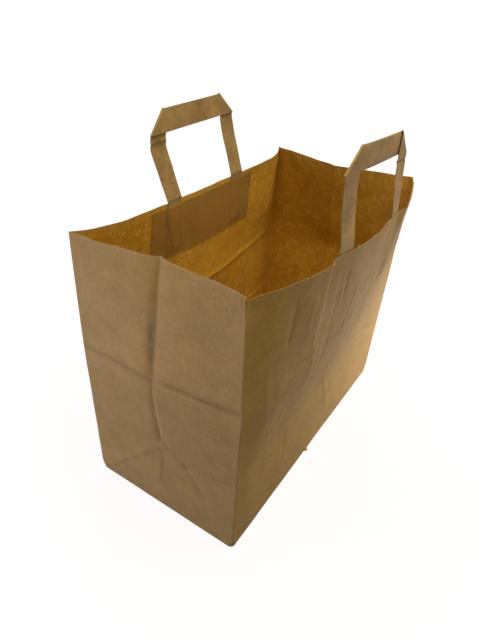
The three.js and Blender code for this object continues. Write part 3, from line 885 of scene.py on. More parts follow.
class PaperNodes:
    """Geometry Nodes tree that cockles a sheet of paper and gives it its thickness."""

    NAME = "paper_sheet"
    DETAIL = 1.5
    ROUGHNESS = 0.45
    WELD = 1e-6
    CUT_FACE = 0.5
    CUT_EDGE = 0.25

    def __init__(self) -> None:
        """Builds the tree."""
        self.tree = bpy.data.node_groups.new(self.NAME, "GeometryNodeTree")
        self.wires = Wiring(self.tree)
        face = self.tree.interface
        face.new_socket("Geometry", in_out="INPUT", socket_type="NodeSocketGeometry")
        for name in ("Thickness", "Cockle Height", "Cockle Size", "Seed"):
            face.new_socket(name, in_out="INPUT", socket_type="NodeSocketFloat")
        face.new_socket("Material", in_out="INPUT", socket_type="NodeSocketMaterial")
        face.new_socket("Geometry", in_out="OUTPUT", socket_type="NodeSocketGeometry")
        self._build()

    def _named(self, attribute: Attribute) -> bpy.types.NodeSocket:
        """Reads a number that the sheet carries."""
        return self.wires.result("GeometryNodeInputNamedAttribute", {"Name": attribute.value},
                                 data_type="FLOAT")

    def _stored(self, geometry: bpy.types.NodeSocket, attribute: Attribute,
                chosen: bpy.types.NodeSocket) -> bpy.types.NodeSocket:
        """Marks the chosen faces with an attribute.

        Args:
            geometry: The sheet.
            attribute: The mark.
            chosen: Which faces get it.

        Returns:
            The marked sheet.
        """
        inputs = {"Geometry": geometry, "Selection": chosen, "Name": attribute.value, "Value": 1.0}
        return self.wires.result("GeometryNodeStoreNamedAttribute", inputs, data_type="FLOAT",
                                 domain="FACE")

    def _shaded(self, geometry: bpy.types.NodeSocket, domain: str,
                limit: float) -> bpy.types.NodeSocket:
        """Shades the paper smooth and its cut edges flat.

        Args:
            geometry: The sheet.
            domain: Whether faces or edges are set.
            limit: Share of cut edge above which one is flat.

        Returns:
            The shaded sheet.
        """
        uncut = self.wires.math("LESS_THAN", self._named(Attribute.CUT), limit)
        inputs = {"Geometry": geometry, "Shade Smooth": uncut}
        return self.wires.result("GeometryNodeSetShadeSmooth", inputs, domain=domain)

    def _cockled(self, given: bpy.types.bpy_prop_collection) -> bpy.types.NodeSocket:
        """Lifts the drawn sheet into soft cockles, and gives it.

        Args:
            given: Outputs of the tree's input node.

        Returns:
            The cockled sheet.
        """
        wires = self.wires
        noise = wires.result(
            "ShaderNodeTexNoise",
            {"Vector": wires.result("GeometryNodeInputPosition"), "W": given["Seed"],
             "Scale": wires.math("DIVIDE", 1.0, given["Cockle Size"]),
             "Detail": self.DETAIL, "Roughness": self.ROUGHNESS}, noise_dimensions="4D")
        swing = wires.math("MULTIPLY", wires.math("SUBTRACT", noise, 0.5), 2.0)
        height = wires.math("MULTIPLY", swing, given["Cockle Height"])
        height = wires.math("MULTIPLY", height, self._named(Attribute.COCKLE))
        normal = wires.result("GeometryNodeInputNormal")
        push = wires.result("ShaderNodeVectorMath", {0: normal, "Scale": height}, operation="SCALE")
        return wires.result("GeometryNodeSetPosition",
                            {"Geometry": given["Geometry"], "Offset": push})

    def _build(self) -> None:
        """Adds and links the nodes."""
        wires = self.wires
        given = wires.node("NodeGroupInput").outputs
        cockled = self._cockled(given)
        thickness = wires.math("MULTIPLY", given["Thickness"], self._named(Attribute.PLY))
        through = wires.node(
            "GeometryNodeExtrudeMesh",
            {"Mesh": wires.result("GeometryNodeFlipFaces", {0: cockled}),
             "Offset Scale": thickness, "Individual": False}, mode="FACES").outputs
        marked = self._stored(through["Mesh"], Attribute.INSIDE, through["Top"])
        marked = self._stored(marked, Attribute.CUT, through["Side"])
        both = wires.node("GeometryNodeJoinGeometry", {0: marked})
        wires.join(cockled, both.inputs[0])
        welded = wires.result("GeometryNodeMergeByDistance",
                              {"Geometry": both.outputs[0], "Distance": self.WELD})
        shaded = self._shaded(self._shaded(welded, "FACE", self.CUT_FACE), "EDGE", self.CUT_EDGE)
        real = wires.result("GeometryNodeRealizeInstances", {0: shaded})
        dressed = wires.result("GeometryNodeSetMaterial",
                               {"Geometry": real, "Material": given["Material"]})
        wires.node("NodeGroupOutput", {0: dressed})

    def thicken(self, piece: bpy.types.Object, material: bpy.types.Material,
                thickness: float, cockle: float, size: float, seed: float) -> None:
        """Runs the tree on a drawn sheet and keeps the result as its mesh.

        Args:
            piece: The sheet's object.
            material: Finish of the paper.
            thickness: Thickness of the paper, in millimetres.
            cockle: Height of the cockle, in millimetres.
            size: Size of one cockle, in millimetres.
            seed: Where in the noise the cockle is taken.
        """
        modifier = piece.modifiers.new(self.NAME, "NODES")
        modifier.node_group = self.tree
        wanted = {
            "Thickness": thickness * MM, "Cockle Height": cockle * MM,
            "Cockle Size": size * MM, "Seed": seed, "Material": material,
        }
        for item in self.tree.interface.items_tree:
            if item.in_out == "INPUT" and item.name in wanted:
                modifier[item.identifier] = wanted[item.name]
        depsgraph = bpy.context.evaluated_depsgraph_get()
        done = bpy.data.meshes.new_from_object(
            piece.evaluated_get(depsgraph), preserve_all_data_layers=True, depsgraph=depsgraph)
        piece.modifiers.clear()
        piece.data = done
        done.name = piece.name


class ShaderGroups:
    """Shader node groups that the paper finishes share.

    Noises are given as features for each metre and octaves, and strands also as the scale of the
    coordinate along each axis and how far they curl.
    """

    ROUGHNESS = 0.55
    SWING = (0.3, 0.7)
    CLOUD = (48.0, 4.0)
    GRAIN = (480.0, 3.0, (1.0, 1.0, 0.6))
    SPECK = (560.0, 1.0)
    SPECK_LIMITS = (0.64, 0.74)
    SPECK_SHARE = 0.8
    STRANDS = ((120.0, 2.0, (1.0, 1.0, 1.0), 1.6), (170.0, 2.0, (0.8, 1.1, 1.2), 1.0))
    STRAND_WIDTH = (0.01, 0.028)
    STRAND_LENGTH = 0.8
    STRAND_LIMITS = (0.46, 0.58)
    PATCHES = (240.0, 2.0)
    PATCHY_WEAR_AND_SHADING = (0.55, 1.0)

    def __init__(self) -> None:
        """Builds both groups."""
        self.fibre = self._fibre()
        self.fold_wear_and_shading = self._fold_wear_and_shading()

    @staticmethod
    def _group(name: str, inputs: dict[str, str], outputs: dict[str, str]) -> Wiring:
        """Starts a group.

        Args:
            name: The group's name.
            inputs: Names and kinds of its inputs.
            outputs: Names and kinds of its outputs.

        Returns:
            The group's wiring, with the nodes given and result.
        """
        tree = bpy.data.node_groups.new(name, "ShaderNodeTree")
        for way, sockets in (("INPUT", inputs), ("OUTPUT", outputs)):
            for label, kind in sockets.items():
                tree.interface.new_socket(label, in_out=way, socket_type=f"NodeSocket{kind}")
        tree.nodes.new("NodeGroupInput").name = "given"
        tree.nodes.new("NodeGroupOutput").name = "result"
        return Wiring(tree)

    @classmethod
    def _noise(cls, wires: Wiring, scale: float, detail: float,
               stretch: Place = (1.0, 1.0, 1.0), curl: float = 0.0) -> bpy.types.NodeSocket:
        """Adds a noise over the group's own coordinate.

        Args:
            wires: The group's wiring.
            scale: Features for each metre.
            detail: Octaves.
            stretch: Scale of the coordinate along each axis.
            curl: How far the noise is distorted.

        Returns:
            The noise's value.
        """
        given = wires.tree.nodes["given"].outputs
        place = wires.result("ShaderNodeMapping", {"Vector": given["Coordinate"], "Scale": stretch})
        return wires.result("ShaderNodeTexNoise", {
            "Vector": place, "Scale": scale, "Detail": detail, "Roughness": cls.ROUGHNESS,
            "Distortion": curl})

    def _fibre(self) -> bpy.types.NodeTree:
        """Builds the look of pressed fibre: clouds, grain and light flecks, with their height.

        Returns:
            The group.
        """
        wires = self._group(
            "kraft_fibre",
            {"Coordinate": "Vector", "Colour": "Color", "Fleck Colour": "Color",
             "Cloud": "Float", "Grain": "Float", "Fleck": "Float"},
            {"Colour": "Color", "Height": "Float"})
        given, result = wires.tree.nodes["given"].outputs, wires.tree.nodes["result"].inputs
        cloud = wires.ranged(self._noise(wires, *self.CLOUD), self.SWING, (-1.0, 1.0))
        grain = wires.ranged(self._noise(wires, *self.GRAIN), self.SWING, (-1.0, 1.0))
        shade = wires.math("ADD", wires.math("MULTIPLY", cloud, given["Cloud"]),
                           wires.math("MULTIPLY", grain, given["Grain"]))
        toned = wires.result("ShaderNodeHueSaturation",
                             {"Value": wires.math("ADD", shade, 1.0), "Color": given["Colour"]})
        speck = self._noise(wires, *self.SPECK)
        fleck = wires.ranged(speck, self.SPECK_LIMITS, (0.0, self.SPECK_SHARE))
        for strand in self.STRANDS:
            off = wires.math("SUBTRACT", self._noise(wires, *strand), 0.5)
            thread = wires.ranged(wires.math("ABSOLUTE", off), self.STRAND_WIDTH, (1.0, 0.0))
            breaks = self._noise(wires, self.STRAND_LENGTH * strand[0], 1.0)
            chosen = wires.ranged(breaks, self.STRAND_LIMITS, (0.0, 1.0))
            fleck = wires.math("MAXIMUM", fleck, wires.math("MULTIPLY", thread, chosen))
        share = wires.math("MULTIPLY", fleck, given["Fleck"])
        wires.join(wires.mix(share, toned, given["Fleck Colour"]), result["Colour"])
        height = wires.math("MULTIPLY", wires.math("ADD", grain, fleck), 0.5)
        wires.join(height, result["Height"])
        return wires.tree

    def _fold_wear_and_shading(self) -> bpy.types.NodeTree:
        """Builds the lines along folds and creases: rubbed and painted light where positive, painted
        shade where negative.

        Returns:
            The group.
        """
        wires = self._group(
            "fold_wear_and_shading",
            {"Coordinate": "Vector", "Colour": "Color", "Worn And Lit Colour": "Color",
             "Painted Shade Colour": "Color", "Wear": "Float"},
            {"Colour": "Color"})
        given, result = wires.tree.nodes["given"].outputs, wires.tree.nodes["result"].inputs
        patchy = wires.ranged(self._noise(wires, *self.PATCHES), self.SWING, self.PATCHY_WEAR_AND_SHADING)
        wear = wires.math("MULTIPLY", given["Wear"], patchy)
        colour = given["Colour"]
        # Positive values lighten towards the worn and lit colour, negative ones darken towards the
        # painted shade colour.
        for sign, name in ((1.0, "Worn And Lit Colour"), (-1.0, "Painted Shade Colour")):
            share = wires.math("MAXIMUM", wires.math("MULTIPLY", wear, sign), 0.0)
            colour = wires.mix(share, colour, given[name])
        wires.join(colour, result["Colour"])
        return wires.tree


@dataclass(frozen=True)
class PaperFinish:
    """A kraft paper finish.

    Attributes:
        name: The material's name.
        outer: Colour of the outer face.
        worn: Colour of rubbed folds, which also paints the light laid along folds, creases and wrinkle
            ridges.
        cut: Colour of cut edges.
        painted_shade: Colour of the painted shade lines in creases, under the handles' bars and on the
            torn scrap.
        fleck: Colour of the light fibres.
        cloud: Strength of the clouds.
        grain: Strength of the fine grain.
        roughness: Roughness of the paper.
        relief: Strength of the fibre's relief.
        shaded_inner: Colour of the face inside the bag, where it is another: a deeper, more saturated
            copy of the kraft that paints the shade inside the bag.
        shaded_inner_worn: Colour of rubbed and lit folds on the face inside the bag, where it is
            another, as deep a copy.
        outer_fleck: Strength of the fibres on the outer face.
        inner_fleck: Strength of the fibres on the face inside the bag.
        sheen: Strength of the paper's reflection.
        relief_height: Height of the fibre's relief, in millimetres.
    """

    name: str
    outer: Colour
    worn: Colour
    cut: Colour
    painted_shade: Colour
    fleck: Colour
    cloud: float
    grain: float
    roughness: float
    relief: float
    shaded_inner: Colour | None = None
    shaded_inner_worn: Colour | None = None
    outer_fleck: float = 0.08
    inner_fleck: float = 0.08
    sheen: float = 0.22
    relief_height: float = 0.15

    def material(self, groups: ShaderGroups) -> bpy.types.Material:
        """Builds the finish's material.

        Args:
            groups: The shared shader groups.

        Returns:
            The material.
        """
        material = bpy.data.materials.new(self.name)
        material.use_nodes = True
        wires = Wiring(material.node_tree)
        shader = material.node_tree.nodes["Principled BSDF"].inputs
        shader["Roughness"].default_value = self.roughness
        shader["Specular IOR Level"].default_value = self.sheen
        place = wires.node("ShaderNodeTexCoord").outputs["Object"]
        inside, wear, cut = (
            wires.node("ShaderNodeAttribute", attribute_name=attribute.value).outputs["Fac"]
            for attribute in (Attribute.INSIDE, Attribute.WEAR, Attribute.CUT))
        fibre = wires.node("ShaderNodeGroup", {
            "Coordinate": place,
            # The face inside the bag takes the deeper copy of the kraft: painted shade.
            "Colour": wires.mix(inside, self.outer, self.shaded_inner or self.outer),
            "Fleck Colour": (*self.fleck, 1.0),
            "Cloud": self.cloud,
            "Grain": self.grain,
            "Fleck": wires.ranged(inside, (0.0, 1.0), (self.outer_fleck, self.inner_fleck)),
        }, node_tree=groups.fibre).outputs
        folds = wires.result("ShaderNodeGroup", {
            "Coordinate": place,
            "Colour": fibre["Colour"],
            "Worn And Lit Colour": wires.mix(inside, self.worn, self.shaded_inner_worn or self.worn),
            "Painted Shade Colour": (*self.painted_shade, 1.0),
            "Wear": wear,
        }, node_tree=groups.fold_wear_and_shading)
        wires.join(wires.mix(cut, folds, self.cut), shader["Base Color"])
        wires.join(wires.result("ShaderNodeBump", {
            "Strength": self.relief,
            "Distance": self.relief_height * MM,
            "Height": fibre["Height"],
        }), shader["Normal"])
        return material


# The colours of the bag's inside face are deeper, more saturated copies of the kraft: painted shade of
# its inside.
BAG_FINISH = PaperFinish(
    name="brown_kraft", outer=(0.324, 0.203, 0.071), shaded_inner=(0.485, 0.252, 0.02),
    worn=(0.389, 0.277, 0.151), shaded_inner_worn=(0.5, 0.295, 0.07), cut=(0.324, 0.187, 0.065),
    painted_shade=(0.115, 0.068, 0.025), fleck=(0.78, 0.577, 0.187), cloud=0.08, grain=0.08,
    roughness=0.85, relief=0.35, outer_fleck=0.06, inner_fleck=0.5)
TAPE_FINISH = PaperFinish(
    name="tape_kraft", outer=(0.31, 0.204, 0.104), worn=(0.374, 0.248, 0.115),
    cut=(0.245, 0.158, 0.072), painted_shade=(0.072, 0.04, 0.0145), fleck=(0.418, 0.288, 0.144),
    cloud=0.27, grain=0.12, roughness=0.8, relief=0.25)
PATCH_FINISH = PaperFinish(
    name="patch_kraft", outer=(0.303, 0.169, 0.043), worn=(0.326, 0.207, 0.067),
    cut=(0.222, 0.141, 0.044), painted_shade=(0.104, 0.059, 0.0185), fleck=(0.333, 0.207, 0.074),
    cloud=0.07, grain=0.07, roughness=0.88, relief=0.2)


@dataclass
class Workshop:
    """What every piece is made with.

    Attributes:
        tube: The folded tube.
        handle: Sizes of the handles.
        nodes: Nodes that turn a drawn sheet into paper.
        groups: Shader groups of the finishes.
        cockle: Height of the paper's cockle.
        cockle_size: Size of one cockle.
        seed: Where in the noise the cockle is taken.
    """

    tube: FoldedTube
    handle: HandleSize
    nodes: PaperNodes
    groups: ShaderGroups
    cockle: float = 0.45
    cockle_size: float = 26.0
    seed: float = 7.0

    def finish(self, sheet: Sheet, name: str, slot: Slot, material: bpy.types.Material,
               thickness: float) -> bpy.types.Object:
        """Turns a drawn sheet into a finished piece of the part.

        Args:
            sheet: The drawn sheet.
            name: Name of the CAD node that the piece stands for.
            slot: Its material slot; not used.
            material: Its finish.
            thickness: Thickness of the paper, in millimetres.

        Returns:
            The piece.
        """
        piece = sheet.piece(f"{name}_paper")
        self.nodes.thicken(piece, material, thickness, self.cockle, self.cockle_size, self.seed)
        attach(piece, BODY)
        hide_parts(name)
        LOG.info("%s: %d faces", piece.name, len(piece.data.polygons))
        return piece


@dataclass
class BagBody:
    """The folded sheet: four walls with a cut rim, and a block bottom of folded flaps.

    Attributes:
        shop: What it is made with.
        front_spacing: Distance between columns on the front wall.
        left_spacing: The same on the left gusset.
        far_spacing: The same on the other two panels.
        row_spacing: Distance between rows.
        base_rows: Rows on the rounded base fold.
        rim_rows: Rows below the rim.
        crease_rows: Heights of the cross folds.
        crease_step: Distance of the rows and columns beside a crease.
        fold_columns: Columns beside a corner fold.
        lap_step: Width of the lap's step.
        lap_slack: How far a place may lie past the lap and still count.
        fold_radius: Radius of the corner folds.
        worn_radius: What the worn fold's radius has more at the rim.
        base_radius: Radius of the base fold.
        base_corner: What the corner folds' radius has more at the base.
        base_corner_reach: Height over which that dies out.
        flap_overlap: Reach of the bottom flaps past the middle of the base.
        flap_inset: Greatest distance of the flaps from the folds.
        flap_turns: Angles of the points round a long flap's corner.
        end_turns: Angles of the points round an end triangle's corner.
        fold_wear_and_shading: Mean rubbed and painted light of the corner folds, and its swing.
        fold_wear_and_shading_reach: Half the width of that light.
        fold_wear_and_shading_waves: Wave lengths with which it comes and goes.
        fold_wear_and_shading_phase: Where those waves start.
        base_wear: Wear of the base fold, and its reach.
        rim_wear: Wear of the rim and its reach, on the back wall last.
        free: Height at which the sheet starts to cockle, and over which it comes up.
        torn_tab: Outline of the scrap of glued paper at the foot of the front wall.
        tab_shade: How far painted shade darkens the scrap.
    """

    shop: Workshop
    front_spacing: float = 1.8
    left_spacing: float = 1.9
    far_spacing: float = 3.6
    row_spacing: float = 2.9
    base_rows: Lengths = (0.05, 0.25, 0.6, 1.1, 1.7)
    rim_rows: Lengths = (0.5, 1.3)
    crease_rows: Lengths = (85.5, 165.0)
    crease_step: float = 0.7
    fold_columns: Lengths = (0.35, 0.8)
    lap_step: float = 0.3
    lap_slack: float = 0.1
    fold_radius: float = 0.7
    worn_radius: float = 5.5
    base_radius: float = 2.0
    base_corner: float = 4.5
    base_corner_reach: float = 7.0
    flap_overlap: float = 12.0
    flap_inset: float = 1.5
    flap_turns: Lengths = (0.0, 15.0, 30.0, 45.0)
    end_turns: Lengths = (25.0, 35.0, 45.0, 60.0, 75.0, 90.0)
    fold_wear_and_shading: Spot = (0.5, 0.25)
    fold_wear_and_shading_reach: float = 1.2
    fold_wear_and_shading_waves: Lengths = (13.0, 29.0, 51.0)
    fold_wear_and_shading_phase: float = 3.0
    base_wear: Spot = (0.35, 1.6)
    rim_wear: tuple[Spot, Spot] = ((0.5, 1.0), (0.6, 4.0))
    free: Spot = (1.0, 12.0)
    torn_tab: tuple[Spot, ...] = ((-17.0, -81.0), (-12.4, -84.6), (-8.0, -81.0))
    tab_shade: float = -0.5

    def _stations(self, side: Side) -> np.ndarray:
        """Gives the places of a panel's columns, from its first fold to just before its last.

        Args:
            side: The panel.

        Returns:
            Distances along the panel from its middle.
        """
        tube = self.shop.tube
        width = tube.panel_width(side)
        spacing = {Side.FRONT: self.front_spacing, Side.LEFT: self.left_spacing}
        count = 2 * round(width / spacing.get(side, self.far_spacing) / 2.0)
        places = [*np.linspace(0.0, width, count + 1)[:-1], *self.fold_columns]
        places += [width - near for near in self.fold_columns]
        if side in (Side.LEFT, Side.RIGHT):
            places += [width / 2.0 - self.crease_step, width / 2.0 + self.crease_step]
        if side is Side.BACK:
            places += [tube.lap_width, tube.lap_width + self.lap_step]
        return np.array(sorted(places)) - width / 2.0

    def _heights(self) -> np.ndarray:
        """Gives the heights of the rows up the sheet.

        Returns:
            Heights, rising.
        """
        top = self.shop.tube.height
        even = np.linspace(0.0, top, round(top / self.row_spacing) + 1)[1:]
        fine = [row + step for row in self.crease_rows
                for step in (-self.crease_step, 0.0, self.crease_step)]
        fine += [top - below for below in self.rim_rows]
        return np.unique(np.concatenate([self.base_rows, even, fine]).round(3))

    def _rounded(self, side: Side, s: np.ndarray, z: np.ndarray) -> tuple[np.ndarray, np.ndarray]:
        """Rounds a panel off towards its corner folds.

        Args:
            side: The panel.
            s: Distance along it from its middle.
            z: Heights.

        Returns:
            Distance along the panel, moved off the folds, and distance inwards.
        """
        tube = self.shop.tube
        from_fold = tube.panel_width(side) / 2.0 - np.abs(s)
        radius = self.fold_radius + self.worn_radius * tube.worn_corner(side, s, z)
        radius = radius + self.base_corner * bell(z, self.base_corner_reach)
        turn = math.pi / 4.0 * np.clip(1.0 - from_fold / radius, 0.0, 1.0)
        moved = np.where(turn > 0.0, radius * (1.0 - np.sin(turn)) - from_fold, 0.0)
        inset = radius * (1.0 - np.cos(turn))
        on_fold = from_fold < ON_FOLD
        moved = np.where(on_fold, 0.0, moved)
        inset = np.where(on_fold, inset * math.sqrt(2.0), inset)
        return s - np.sign(s) * moved, inset

    def _inset(self, z: np.ndarray) -> np.ndarray:
        """Gives how far the sheet turns in at the rounded base fold, in millimetres."""
        left = np.clip(self.base_radius - z, 0.0, self.base_radius)
        return self.base_radius - np.sqrt(self.base_radius ** 2 - left ** 2)

    def _wear(self, side: Side, s: np.ndarray, z: np.ndarray, from_fold: np.ndarray) -> np.ndarray:
        """Gives the rubbing and painted shading of a panel: its creases' rubbed and painted light and
        painted shade, its folds' rubbed and painted light, and the rubbing of its base and rim.

        Args:
            side: The panel.
            s: Distance along it from its middle.
            z: Heights.
            from_fold: Distance from the nearest corner fold.

        Returns:
            Rubbing and painted shading between -1 and 1.
        """
        tube = self.shop.tube
        mean, swing = self.fold_wear_and_shading
        fold = mean + swing * waves(z, self.fold_wear_and_shading_waves, self.fold_wear_and_shading_phase)
        rim, reach = self.rim_wear[side is Side.BACK]
        # Creases bring their rubbing and painted shading; folds get rubbed and painted light.
        wear = tube.relief(side, s, z)[1] + bell(from_fold, self.fold_wear_and_shading_reach) * fold
        wear = wear + self.base_wear[0] * bell(z, self.base_wear[1])
        return np.clip(wear + rim * bell(tube.height - z, reach), -1.0, 1.0)

    def _walls(self) -> Sheet:
        """Draws the four walls as one closed ring of columns.

        Returns:
            The walls.
        """
        tube = self.shop.tube
        rows = self._heights()
        plans, heights, wear, insets = [], [], [], []
        for side in Side:
            half = tube.panel_width(side) / 2.0
            s, z = np.meshgrid(self._stations(side), rows)
            from_fold = half - np.abs(s)
            s, round_off = self._rounded(side, s, z)
            plan = tube.outline(side, s, z)
            if side is Side.BACK:
                on_lap = (s < tube.lap_width + self.lap_slack - half) & (from_fold > ON_FOLD)
                plan = plan + np.array(side.value) * (tube.paper * on_lap)[..., None]
            plans.append(plan)
            heights.append(tube.raised(side, s, z))
            wear.append(self._wear(side, s, z, from_fold))
            insets.append(self._inset(z) + round_off)
        plan = np.concatenate(plans, axis=1)
        way = np.roll(plan, -1, axis=1) - np.roll(plan, 1, axis=1)
        way = way / np.linalg.norm(way, axis=-1, keepdims=True)
        inward = np.stack([-way[..., 1], way[..., 0]], axis=-1)
        plan = plan + inward * np.concatenate(insets, axis=1)[..., None]
        height = np.concatenate(heights, axis=1)
        sheet = Sheet.grid(np.concatenate([plan, height[..., None]], axis=-1), closed=True)
        free = smooth((height - self.free[0]) / self.free[1])
        return sheet.valued(wear=np.concatenate(wear, axis=1), cockle=free)

    @staticmethod
    def _flap(outline: list[Spot], level: float, wear: float = 0.0) -> Sheet:
        """Draws a flat flap of the base, facing down.

        Args:
            outline: Its corners, anticlockwise seen from above.
            level: Height of its lower face.
            wear: Its rubbing and painted shading all over.

        Returns:
            The flap.
        """
        points = np.array([(x, y, level) for x, y in outline])
        return Sheet(points, [tuple(range(len(outline)))[::-1]]).valued(wear=wear, cockle=0.0)

    def _corner(self, level: float, turns: Lengths) -> list[Spot]:
        """Gives points round a flap's corner, inside the wall's turned-in paper.

        Args:
            level: Height of the flap.
            turns: Angles round the corner in degrees, from the long wall to the end wall.

        Returns:
            Points of the corner at the front right.
        """
        tube = self.shop.tube
        edge = min(float(self._inset(np.array(level))) + tube.paper / 2.0, self.flap_inset)
        radius = self.fold_radius + self.base_corner
        middle = (tube.width / 2.0 - radius, tube.depth / 2.0 - radius)
        reach = radius - edge
        return [(middle[0] + reach * math.sin(turn), -middle[1] - reach * math.cos(turn))
                for turn in np.radians(turns)]

    def _long_flap(self, level: float) -> list[Spot]:
        """Gives the outline of the front flap, which reaches past the middle of the base.

        Args:
            level: Height of the flap.

        Returns:
            Its corners, anticlockwise seen from above.
        """
        right = self._corner(level, self.flap_turns)
        left = [(-x, y) for x, y in right[::-1]]
        x, y = right[-1]
        far = x + y - self.flap_overlap
        return [*left, *right, (far, self.flap_overlap), (-far, self.flap_overlap)]

    def _end_flap(self, level: float) -> list[Spot]:
        """Gives the outline of the right end triangle, which laps over both long flaps.

        Args:
            level: Height of the flap.

        Returns:
            Its corners, anticlockwise seen from above.
        """
        front = self._corner(level, self.end_turns)
        back = [(x, -y) for x, y in front[::-1]]
        return [*front, *back, (sum(front[0]), 0.0)]

    def _base(self) -> list[Sheet]:
        """Draws the block bottom: two long flaps, and two end triangles inside, over them.

        Returns:
            The flaps, and the scrap of torn paper.
        """
        paper = self.shop.tube.paper
        inside = 2.0 * paper
        drawn = [(self._long_flap(0.0), 1.0, 0.0), (self._long_flap(paper), -1.0, paper),
                 (self._end_flap(inside), 1.0, inside), (self._end_flap(inside), -1.0, inside)]
        flaps = [self._flap([(turn * x, turn * y) for x, y in outline], level)
                 for outline, turn, level in drawn]
        # The torn scrap is darkened with painted shade.
        return [*flaps, self._flap(list(self.torn_tab), paper, self.tab_shade)]

    def build(self) -> bpy.types.Object:
        """Makes the bag's body.

        Returns:
            The piece.
        """
        sheet = Sheet.joined([self._walls(), *self._base()])
        material = BAG_FINISH.material(self.shop.groups)
        return self.shop.finish(sheet, "bag_body", Slot.BAG, material, self.shop.tube.paper)


